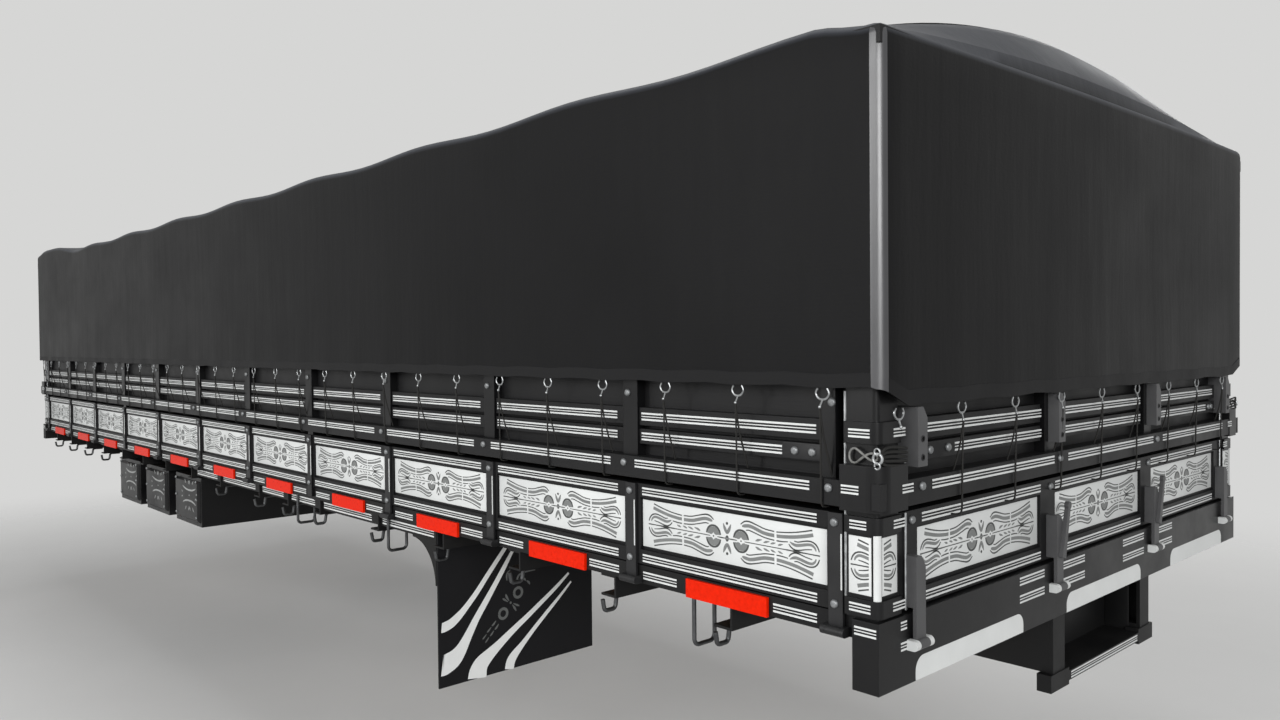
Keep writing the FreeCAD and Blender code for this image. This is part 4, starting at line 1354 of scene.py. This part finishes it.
# ---- hem hooks and lashings ------------------------------------------------------------
@dataclass
class HemTackle(Assembly):
    """Open rings along the cover's hem, the cords that hold them down, and the corner loops."""

    wire: float = 2.6
    cord: float = 2.4
    tail: float = 3.6
    bead: float = 4.0
    bead_at: Pair = (-8.0, 531.0)
    rear_first: float = 1191.0
    rear_count: int = 9
    rear_drop: float = 42.0
    # The ring's open eye and its shank as x and z, and the lashing's two cords as x, y and z.
    eye: tuple[Pair, ...] = (
        (-13, 574), (-18, 568), (-19, 560), (-11, 550), (0, 548), (11, 550), (19, 560), (18, 568), (13, 574))
    shank: tuple[Pair, ...] = ((0, 548), (-2, 541), (-7, 533))
    ring_proud: float = -38.0
    cords: tuple[tuple[Point3, ...], ...] = (
        ((-8, -38, 529), (-8, -36, 470), (-9, -34, 420), (-10, -33, 366), (-10, -32.5, 336), (-10, -32, 304),
         (-10, -20, 297), (-10, -4, 298)),
        ((-8, -38, 529), (-6, -32, 475), (-2, -18, 419), (1, -6, 376), (2, -4, 366)))
    loop: tuple[Point3, ...] = (
        (64, -13, 431), (50, -14, 443), (28, -16, 430), (4, -17, 414), (-16, -18, 418), (-14, -18, 430),
        (4, -17, 433), (26, -15, 422), (48, -13, 404), (64, -12, 411))
    # Radius, wire, y and lift of the three rings that hold the loop, then their x.
    eyes: tuple[Row, ...] = (
        (11.5, 3.2, -20.0, 421.0), (7.0, 2.2, -22.0, 437.0), (7.0, 2.2, -22.0, 405.0))
    eyes_x: float = -16.0
    # How far apart the tails run, and x, y, lift and share of that spread along one.
    tails: Row = (-16.0, -8.0, 0.0, 8.0, 16.0)
    tail_line: tuple[Row, ...] = ((-18, -20, 422, 0), (-24, -14, 424, 1), (-30, 10, 426, 1.4),
                                  (-24, 84, 418, 1.2))
    rear_cord_r: float = 2.2
    rear_cord_proud: float = 3.0
    rear_cord: tuple[Pair, ...] = ((1096, 409), (1005, 407), (930, 409), (866, 412))

    def open_ring(self, way: float) -> Piece:
        """Bends an open ring whose mouth is in the hem, with its shank and the bead at the shank's end.

        Args:
            way: 1 for the left side, -1 for the right side and the rear.

        Returns:
            The ring.
        """
        wires = [rod([(x * way, self.ring_proud, z) for x, z in line], self.wire)
                 for line in (self.eye, self.shank)]
        x, z = self.bead_at
        bead = begin("uv_sphere", at=(x * way, self.ring_proud, z), segments=12, ring_count=8,
                     radius=self.bead)
        return merge("ring", [*wires, bead])

    def lashing(self, way: float) -> Piece:
        """Runs two cords down from a ring: one over the outer rail's face, one in behind its top."""
        return merge("lashing", [rod([(x * way, y, z) for x, y, z in run], self.cord) for run in self.cords])

    def make(self) -> None:
        """Sets rings and lashings round the body, then the corner loops."""
        rings, lashings = [], []
        for side, way in ((Face.LEFT, 1.0), (Face.RIGHT, -1.0)):
            hook, lashing = self.open_ring(way), self.lashing(way)
            count = int((LAY.length - LAY.ring_first) / LAY.ring_pitch) + 1
            seats = [side.place(LAY.ring_first + LAY.ring_pitch * k, 0.0, 0.0) for k in range(count)]
            rings += [(hook, s) for s in seats]
            lashings += [(lashing, s) for s in seats]
        seats = [Face.REAR.place(self.rear_first - LAY.rear_ring_pitch * k, 0.0, -self.rear_drop)
                 for k in range(self.rear_count)]
        rings += [(hook, s) for s in seats]
        lashings += [(lashing, s) for s in seats[1:]]
        self.dress(stamp("hem_rings", rings), ZINC, BED, Slot.ZINC)
        self.dress(stamp("hem_lashings", lashings), ROPE, BED, Slot.SHEET)
        discard(*{t for t, _ in rings + lashings})
        self.corner_loops()

    def corner_loops(self) -> None:
        """Ties a figure-of-eight loop and its eye round each rear corner, and a thin cord at the rear."""
        for side, way in ((Face.LEFT, -1.0), (Face.RIGHT, 1.0)):
            loop = rod([(x * way, y, z) for x, y, z in self.loop], self.wire, closed=True)
            tails = [rod([(x * way, y, z + share * apart) for x, y, z, share in self.tail_line], self.tail)
                     for apart in self.tails]
            rings = [ring(radius, wire, (self.eyes_x * way, y, lift)) for radius, wire, y, lift in self.eyes]
            seat = side.place(0.0, 0.0, 0.0)
            self.set_out(f"corner_loop_{side.word}", loop, seat, ROPE_PALE, BED, Slot.ZINC)
            self.set_out(f"corner_eye_{side.word}", rings, seat, ZINC, BED, Slot.ZINC)
            self.set_out(f"corner_tails_{side.word}", tails, seat, ROPE, BED, Slot.SHEET)
            discard(loop, *rings, *tails)
        cord = rod([(y, self.rear_cord_proud, z) for y, z in self.rear_cord], self.rear_cord_r)
        self.set_out("rear_cord", cord, Face.REAR.place(0.0, 0.0, 0.0), ROPE_PALE, BED, Slot.SHEET)
        discard(cord)


# ---- what hangs below ------------------------------------------------------------------
@dataclass
class Underside(Assembly):
    """Painted sweeps on the mudflaps, the tail plate's cheeks, and the dressing of the toolbox faces."""

    sweeps: tuple[Stroke, ...] = (
        ((866, -76, 14), (904, -121, 17), (946, -168, 19), (987, -214, 20), (1032, -266, 22),
         (1084, -317, 25), (1117, -344, 32), (1148, -363, 36), (1178, -371, 37), (1188, -371, 37)),
        ((816, -72, 10), (868, -138, 14), (908, -195, 20), (949, -252, 22), (994, -312, 26), (1035, -366, 29),
         (1076, -428, 38), (1105, -470, 52), (1136, -498, 70), (1174, -512, 78), (1187, -512, 79)),
        ((584, -268, 10), (652, -316, 16), (724, -361, 19), (794, -404, 22), (866, -446, 27), (935, -490, 37),
         (983, -521, 52), (1014, -544, 68), (1030, -570, 80), (1035, -596, 84)),
        ((572, -305, 8), (630, -354, 13), (703, -412, 17), (768, -465, 19), (820, -510, 24), (860, -544, 36),
         (879, -568, 42), (886, -596, 42)))
    spray: tuple[Stroke, ...] = (
        ((884, -327, 3), (895, -309, 9), (899, -298, 3)), ((889, -330, 3), (906, -318, 8), (914, -313, 3)),
        ((868, -345, 3), (857, -361, 9), (850, -373, 3)), ((863, -341, 3), (845, -351, 8), (835, -356, 3)),
        ((946, -393, 3), (957, -404, 8), (966, -410, 3)), ((934, -408, 3), (944, -420, 8), (952, -427, 3)),
        ((969, -414, 3), (981, -425, 7), (988, -430, 3)), ((957, -430, 3), (967, -441, 7), (974, -447, 3)),
        ((991, -437, 3), (1002, -447, 6), (1009, -452, 3)), ((980, -451, 3), (990, -462, 6), (996, -468, 3)),
        ((876, -206, 3), (890, -216, 6), (894, -230, 8), (892, -246, 3)),
        ((841, -262, 3), (842, -244, 9), (830, -231, 7), (800, -226, 6), (755, -226, 3)),
        ((818, -246, 3), (808, -254, 8), (802, -262, 3)), ((798, -262, 3), (788, -270, 9), (782, -280, 3)))
    # Middles of the two rosettes, their radius and the stroke's width; then the spot between them.
    rosettes: tuple[Pair, ...] = ((840.0, -302.0), (912.0, -372.0))
    rosette: Pair = (19.0, 11.0)
    rosette_steps: int = 12
    pip: Point3 = (-876.0, -336.0, 5.0)
    box_strokes: tuple[Stroke, ...] = (
        ((0, 30, 9), (40, 32, 10), (78, 38, 9), (110, 48, 3)), ((6, 64, 3), (8, 76, 9), (15, 88, 3)),
        ((54, 66, 3), (60, 76, 9), (70, 88, 3)), ((112, 10, 3), (119, 15, 9), (128, 18, 3)))
    box_spots: tuple[Point3, ...] = ((0.0, 0.0, 5.0),)
    paint: float = 0.4
    box_half: float = 215.0
    motif_at: Pair = (-52.0, -177.0)
    bolt: Pair = (8.5, 6.0)
    bolt_x: float = 168.0
    bolt_lifts: Row = (-90.0, -190.0, -295.0)
    cheek: Point3 = (78.0, 5.0, 186.0)
    cheek_round: float = 2.0
    cheek_at: Point3 = (61.0, 282.0, -14.0)

    def make(self) -> None:
        """Paints the flaps, then closes the tail plate and dresses the boxes."""
        seat = Face.REAR.place(0.0, -span("mudflaps", 0)[0] - LAY.half, 0.0)
        radius, width = self.rosette
        turns = [math.tau * k / self.rosette_steps for k in range(self.rosette_steps + 1)]
        rings = [[(y + radius * math.cos(t), z + radius * math.sin(t), width) for t in turns]
                 for y, z in self.rosettes]
        for side, way in ((Face.LEFT, 1.0), (Face.RIGHT, -1.0)):
            sweeps, spray = ([ribbon([(-y * way, z, w) for y, z, w in stroke]) for stroke in strokes]
                             for strokes in (self.sweeps, (*self.spray, *rings)))
            x, z, pip = self.pip
            spray.append(disc(x * way, z, pip, self.paint))
            self.set_out(f"flap_sweeps_{side.word}", sweeps, seat, SWEEP, BED, Slot.TRIM)
            self.set_out(f"flap_spray_{side.word}", spray, seat, FAINT, BED, Slot.TRIM)
            discard(*sweeps, *spray)
        self.tail_cheeks()
        self.boxes()

    def tail_cheeks(self) -> None:
        """Closes both ends of the tail plate with a rounded cheek that runs back to the upright."""
        station, half, low = self.cheek_at
        cheek = begin("cube", self.cheek, (0.0, 0.0, self.cheek[2] / 2), size=1.0)
        with editing(cheek, "EDGE"):
            pick(cheek, "edges", lambda c, n: abs(n.z) > FACING)
            bevel(self.cheek_round, 3)
        seats = [shifted(LAY.x(station), y, low) for y in (half, -half)]
        self.set_out("tail_cheeks", cheek, seats, CHASSIS, BED, Slot.STEEL)
        discard(cheek)

    def boxes(self) -> None:
        """Draws the ornament on every box face and sets its bolts."""
        out = span("toolboxes", 1)[1] - LAY.wall
        low, high = (v + LAY.half for v in span("toolboxes", 0))
        middles = (low + self.box_half, (low + high) / 2, high - self.box_half)
        along, lift = self.motif_at
        motif, bolt = mirrored(self.box_strokes, (), self.box_spots, self.paint), dome(*self.bolt)
        for side in SIDES:
            seats = [side.place(c + along, out, lift) for c in middles]
            self.set_out(f"box_ornament_{side.word}", motif, seats, SWEEP_GREY, BED, Slot.TRIM)
            heads = [side.place(c + x, out, z) for c in middles for x in (-self.bolt_x, self.bolt_x)
                     for z in self.bolt_lifts]
            self.set_out(f"box_bolts_{side.word}", bolt, heads, BOLT, BED, Slot.ZINC)
        discard(bolt, motif)


# ---- the cover -------------------------------------------------------------------------
@dataclass
class Cover(Assembly):
    """The tarpaulin: one cut sheet with welded corners, arched over the hoops and held down at its hem."""

    cloth: float = 1.8
    hem_cloth: float = 1.2
    strip_cloth: float = 0.6
    shrink: float = 1.5
    round_off: float = 28.0
    eave_drop: float = 220.0
    rise: float = 216.0
    hip: float = 190.0
    roof_sag: float = 20.0
    roof_drop: float = 2.0
    roof_creep: float = 3.0
    creep_size: float = 520.0
    side_billow: float = 7.0
    # The billow's least share where the cloth creeps inward, and how far down it ends.
    billow_share: float = 0.75
    billow_end: float = 1.02
    gather: float = 4.0
    corner_taut: float = 240.0
    hem_wave: float = 5.0
    mesh_step: float = 84.0
    skirt: float = 32.0
    strip_top: float = 12.0
    strip_in: float = 2.0
    end_rows: Pair = (55.0, 150.0)
    rear_fall: float = 42.0
    rear_fall_in: float = 110.0
    rear_fold_first: float = 102.0
    hoop_half: float = 25.0
    hoop_gaps: int = 9
    # The eave above its cut line: at the rear, what the side gains by the front, and the waves.
    eave_base: float = 13.0
    eave_gain: float = 6.0
    wave: float = 8.0
    wave_pitch: float = 890.0
    bend: float = 154.0
    # Where the front bay draws the eave up and lets it fall again: height, first station, length.
    front_rise: Point3 = (70.0, 6700.0, 1070.0)
    front_fall: Point3 = (40.0, 7770.0, 270.0)
    # The rear eave: at its middle, and what it loses in proportion to y and to y squared.
    rear_eave: Point3 = (24.0, 16.0, 11.0)
    box_edge: Point3 = (span("tarp", 0)[1], span("tarp", 1)[1], span("tarp", 2)[0])
    hoops: Pair = span("tarp_hoops", 0)

    @property
    def eave(self) -> float:
        """Height of the eave."""
        return LAY.crest - self.eave_drop

    def between_hoops(self, x: float) -> float:
        """Gives 0 over a hoop and 1 midway between two.

        Args:
            x: place along the cover, in mm.

        Returns:
            The share, 0 to 1.
        """
        low, high = self.hoops
        pitch = (high - low - 2 * self.hoop_half) / self.hoop_gaps
        return math.sin(math.pi * (x - low - self.hoop_half) / pitch) ** 2 if low < x < high else 0.0

    def lift(self, x: float, y: float) -> float:
        """Gives how far the eave's edge stands above its cut line: wavy, and drawn up towards the front end.

        Args:
            x: place along the cover, in mm.
            y: place across it, in mm.

        Returns:
            The lift, in mm.
        """
        station = x + LAY.half
        side = (self.eave_base + self.eave_gain * station / LAY.length
                + self.wave * math.cos(math.tau * (station - self.bend) / self.wave_pitch))
        for way, (height, start, length) in ((1.0, self.front_rise), (-1.0, self.front_fall)):
            side += way * height * smooth((station - start) / length)
        middle, tilt, bow = self.rear_eave
        aside = y / self.box_edge[1]
        end = middle - tilt * aside - bow * aside ** 2
        return end + (side - end) * smooth(station / self.bend)

    def drape(self, point: Vector) -> Vector:
        """Moves one point of the flat-sided form to where the hung cloth lies.

        Args:
            point: its place on the form, in mm.

        Returns:
            Its place on the cloth, in mm.
        """
        edge = self.lift(point.x, point.y)
        creep = noise.noise(point / self.creep_size)
        return (self.roof if point.z > self.eave - 0.5 else self.wall)(point, edge, creep)

    def roof(self, point: Vector, edge: float, creep: float) -> Vector:
        """Arches one point of the roof over the hoops, and sinks it between them.

        Args:
            point: its place on the form, in mm.
            edge: the eave's lift there, in mm.
            creep: the cloth's slow unevenness there, -1 to 1.

        Returns:
            Its place on the cloth, in mm.
        """
        long_half, half, _ = self.box_edge
        across = min(1.0, abs(point.y) / (half - self.round_off))
        ends = min(1.0, (long_half - abs(point.x)) / self.hip)
        arch = self.rise * (1.0 - across ** 2) * math.sin(ends * math.pi / 2)
        fall = self.roof_sag * (1.0 - across ** 4) * self.between_hoops(point.x) * ends
        held = edge * max(across ** 6, (1.0 - ends) ** 2)
        up = arch + held - fall - self.roof_drop + self.roof_creep * creep * (1.0 - across)
        return point + Vector((0.0, 0.0, up))

    def wall(self, point: Vector, edge: float, creep: float) -> Vector:
        """Lets one point of a wall billow inwards and gathers it at the hem between the rings.

        Args:
            point: its place on the form, in mm.
            edge: the eave's lift there, in mm.
            creep: the cloth's slow unevenness there, -1 to 1.

        Returns:
            Its place on the cloth, in mm.
        """
        long_half, half, hem = self.box_edge
        x, y, z = point
        on_side = abs(y) > half - self.shrink - 1.0
        drop = (self.eave - z) / (self.eave - hem)
        pull = drop ** 3
        if on_side:
            fold = math.cos(math.tau * (x - LAY.x(LAY.ring_first)) / LAY.ring_pitch)
        else:
            fold = math.cos(math.tau * (y - self.rear_fold_first) / LAY.rear_ring_pitch)
        gathered = pull * (0.5 - 0.5 * fold)
        taut = smooth((long_half - abs(x) if on_side else half - abs(y)) / self.corner_taut)
        belly = math.sin(math.pi * min(1.0, drop * self.billow_end)) * (self.billow_share + creep)
        inward = taut * (self.side_billow * belly + self.gather * gathered)
        up = self.hem_wave * gathered + edge * (1.0 - drop) ** 2
        if on_side:
            return Vector((x, y - math.copysign(inward, y), z + up))
        if x < 0.0:
            up -= self.rear_fall * drop ** 2 * smooth((half - abs(y)) / self.rear_fall_in)
        return Vector((x - math.copysign(inward, x), y, z + up))

    def form(self) -> Piece:
        """Cuts the cover's flat-sided form: an open box with rounded upright corners and eaves.

        Returns:
            The form, an open shell.
        """
        long_half, half, hem = self.box_edge
        size = (2 * (long_half - self.shrink), 2 * (half - self.shrink), self.eave - hem)
        piece = begin("cube", size, (0.0, 0.0, (self.eave + hem) / 2), size=1.0)
        with editing(piece):
            pick(piece, "faces", lambda c, n: n.z < -FACING)
            bpy.ops.mesh.delete(type="FACE")
            pick(piece, "edges", lambda c, n: abs(n.z) > FACING or c.z > self.eave - 1.0)
            bevel(self.round_off, 4)
            for axis, length in enumerate((2 * long_half, 2 * half, self.eave - hem)):
                pick(piece, "edges", lambda c, n: abs(n[axis]) > STRAIGHT)
                bpy.ops.mesh.subdivide(number_cuts=round(length / self.mesh_step))
            for inset in (self.round_off + self.strip_in, *self.end_rows, self.hip):
                for s in (1, -1):
                    cut(0, s * (long_half - inset))
            for s in (1, -1):
                cut(1, s * (half - self.round_off))
            cut(2, hem + self.skirt)
            cut(2, self.eave - self.strip_top)
        return piece

    def make(self) -> None:
        long_half, half, low = self.box_edge
        end, side = long_half - self.round_off - self.strip_in, half - self.round_off
        foot, top = low + self.skirt, self.eave - self.strip_top
        sheet = self.form()
        sheet.name = "cover"
        hem = self.lap(sheet, "cover_hem",
                       lambda c, n: c.z > foot or (abs(c.x) > end and abs(c.y) > side))
        # The corner strips carry a painted highlight: their paler colour stands for the light down the
        # rounded corners.
        strips = self.lap(sheet, "cover_corner_highlight_strips",
                          lambda c, n: abs(c.x) < end or abs(c.y) < side or c.z > top)
        for piece, thick, way, finish in ((sheet, self.cloth, -1.0, CANVAS),
                                          (hem, self.hem_cloth, 1.0, CANVAS_HEM),
                                          (strips, self.strip_cloth, 1.0, CANVAS_SEAM_HIGHLIGHT)):
            for vertex in piece.data.vertices:
                vertex.co = self.drape(vertex.co / MM) * MM
            apply_modifier(piece, "SOLIDIFY", thickness=thick * MM, offset=way)
            self.dress(piece, finish, BED, Slot.SHEET)
        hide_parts("tarp")

    def lap(self, sheet: Piece, name: str, drop: Test) -> Piece:
        """Copies part of the flat-sided form as a second layer.

        Args:
            sheet: the form.
            name: the layer's name.
            drop: tells from a face's middle and normal whether it is left out.

        Returns:
            The layer.
        """
        layer = stamp(name, [(sheet, Matrix())])
        with editing(layer):
            pick(layer, "faces", drop)
            bpy.ops.mesh.delete(type="FACE")
        return layer


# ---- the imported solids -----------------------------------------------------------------
@dataclass
class Solids:
    """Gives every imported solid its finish."""

    # The rear arches take a whiter copy of the trim enamel as painted light.
    finishes: dict[str, Finish] = field(default_factory=lambda: {
        "floor": FLOORING, "upper_wall_rear": BOARDS_CROSS, "headboard": BOARDS_CROSS,
        "tailgate": BOARDS_CROSS, "rear_beam": COACH, "corner_posts": COACH, "gate_posts": COACH,
        "stakes": COACH, "toolboxes": COACH, "rear_keeper_plates": CASTING, "tailgate_plates": CASTING,
        "tailgate_levers": CASTING, "gate_hinges": IRON, "rear_arch_plates": TRIM_LIT,
        "tailgate_clevises": TRIM, "corner_bars": TRIM, "rope_hooks": ZINC_DARK, "stirrups": ZINC_DARK,
        "mudflaps": RUBBER, "reflectors": REFLECTOR, "tarp": CANVAS, "gate_straps": IRON,
        "gate_": BOARDS_LONG, "upper_wall": BOARDS_LONG, "": CHASSIS})

    def finish_of(self, node: str) -> Finish:
        """Looks up the finish of a node, by its name or by the first start of a name that fits."""
        return self.finishes.get(node) or next(
            finish for start, finish in self.finishes.items() if node.startswith(start))

    def dress(self) -> None:
        """Assigns the finishes to the solids' own slots."""
        for name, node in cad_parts.items():
            finish = self.finish_of(name)
            if not node.material_slots:
                node.data.materials.append(None)
            for slot in node.material_slots:
                slot.material = finish.material()
            LOG.info("%s is finished in %s", name, finish.name)


# ---- studio ----------------------------------------------------------------------------
@dataclass(frozen=True)
class Lamp:
    """One soft rectangular lamp: where it hangs, what it faces and its size in metres, and its watts."""

    name: str
    place: Point3
    aim: Point3
    size: Pair
    power: float

    def hang(self) -> None:
        """Puts the lamp into the scene."""
        light = bpy.data.lights.new(self.name, "AREA")
        light.shape = "RECTANGLE"
        light.size, light.size_y = self.size
        light.energy = self.power
        lamp = link(self.name, light)
        lamp.location = self.place
        lamp.rotation_euler = (Vector(self.aim) - Vector(self.place)).to_track_quat("-Z", "Y").to_euler()


@dataclass
class Studio:
    """Pale floor, soft lights, plain backdrop and the camera."""

    ground: float = -950.0
    floor_size: float = 90000.0
    eye: Point3 = (-1230.5 - LAY.half, 3084.5, 956.9)
    yaw: float = 42.884
    pitch: float = -1.073
    roll: float = -0.522
    lens: float = 27.33
    sensor: float = 36.0
    far: float = 200.0
    pale: str = "D6D6D5"
    soft: float = 0.3
    lamps: tuple[Lamp, ...] = (
        Lamp("key", (-3.0, 11.0, 4.5), (-1.0, 1.2, 0.8), (12.0, 4.0), 690.0),
        Lamp("side_low", (1.8, 9.5, 2.4), (-3.6, 1.2, 1.0), (1.2, 4.0), 138.0),
        Lamp("rear", (-12.2, 7.0, 3.6), (-4.0, 0.0, 0.6), (5.5, 4.0), 760.0),
        Lamp("top", (0.0, 0.0, 9.0), (0.0, 0.0, 0.0), (10.0, 4.0), 300.0),
        Lamp("far_side", (2.0, -11.0, 5.0), (0.0, -1.2, 0.6), (8.0, 4.0), 450.0))

    def floor(self) -> None:
        """Lays a wide floor that fades into the backdrop."""
        piece = begin("plane", (self.floor_size, self.floor_size, 1.0), (0.0, 0.0, self.ground), size=1.0)
        piece.name = "studio_floor"
        piece.data.materials.append(STUDIO.material())

    def backdrop(self) -> None:
        """Shows a pale surround to the camera, to gloss and through glass, and a softer one elsewhere."""
        world = bpy.data.worlds.new("studio")
        bpy.context.scene.world = world
        world.use_nodes = True
        tree = world.node_tree
        tree.nodes.clear()
        path = add_node(tree, "LightPath").outputs
        seen = path["Is Camera Ray"]
        for ray in ("Is Glossy Ray", "Is Transmission Ray"):
            seen = add_node(tree, "Math", {"operation": "MAXIMUM"}, {0: seen, 1: path[ray]}).outputs[0]
        soft = add_node(tree, "Background", {"Color": linear("FFFFFF"), "Strength": self.soft}).outputs[0]
        pale = add_node(tree, "Background", {"Color": linear(self.pale), "Strength": 1.0}).outputs[0]
        mix = add_node(tree, "MixShader", {}, {0: seen, 1: soft, 2: pale}).outputs[0]
        add_node(tree, "OutputWorld", {}, {"Surface": mix})

    def camera(self) -> None:
        """Stands the camera at the viewing point, turned by its yaw, pitch and roll."""
        yaw, pitch, roll = (math.radians(a) for a in (self.yaw, self.pitch, self.roll))
        ahead = Vector((math.cos(pitch) * math.cos(yaw), -math.cos(pitch) * math.sin(yaw), math.sin(pitch)))
        right = ahead.cross(Vector((0.0, 0.0, 1.0))).normalized()
        up = right.cross(ahead)
        across = right * math.cos(roll) + up * math.sin(roll)
        upright = up * math.cos(roll) - right * math.sin(roll)
        data = bpy.data.cameras.new("view")
        data.lens, data.sensor_width, data.clip_end = self.lens, self.sensor, self.far
        camera = link("view", data)
        camera.matrix_world = Matrix.Translation(Vector(self.eye) * MM) @ Matrix(
            (across, upright, -ahead)).transposed().to_4x4()
        bpy.context.scene.camera = camera

    def make(self) -> None:
        """Sets the whole studio up."""
        self.camera()
        self.floor()
        self.backdrop()
        for lamp in self.lamps:
            lamp.hang()
        bpy.context.scene.view_settings.view_transform = "Standard"


def main() -> None:
    """Builds the studio and every sub-assembly, in order."""
    logging.basicConfig(level=logging.INFO, format="%(message)s")
    clear_selection()
    Studio().make()
    Solids().dress()
    for assembly in (Cover(), Lining(), Ornament(), Ironmongery(), HemTackle(), Underside()):
        assembly.make()
        LOG.info("%s: %d pieces", type(assembly).__name__, len(assembly.made))


if __name__ == "__main__":
    main()
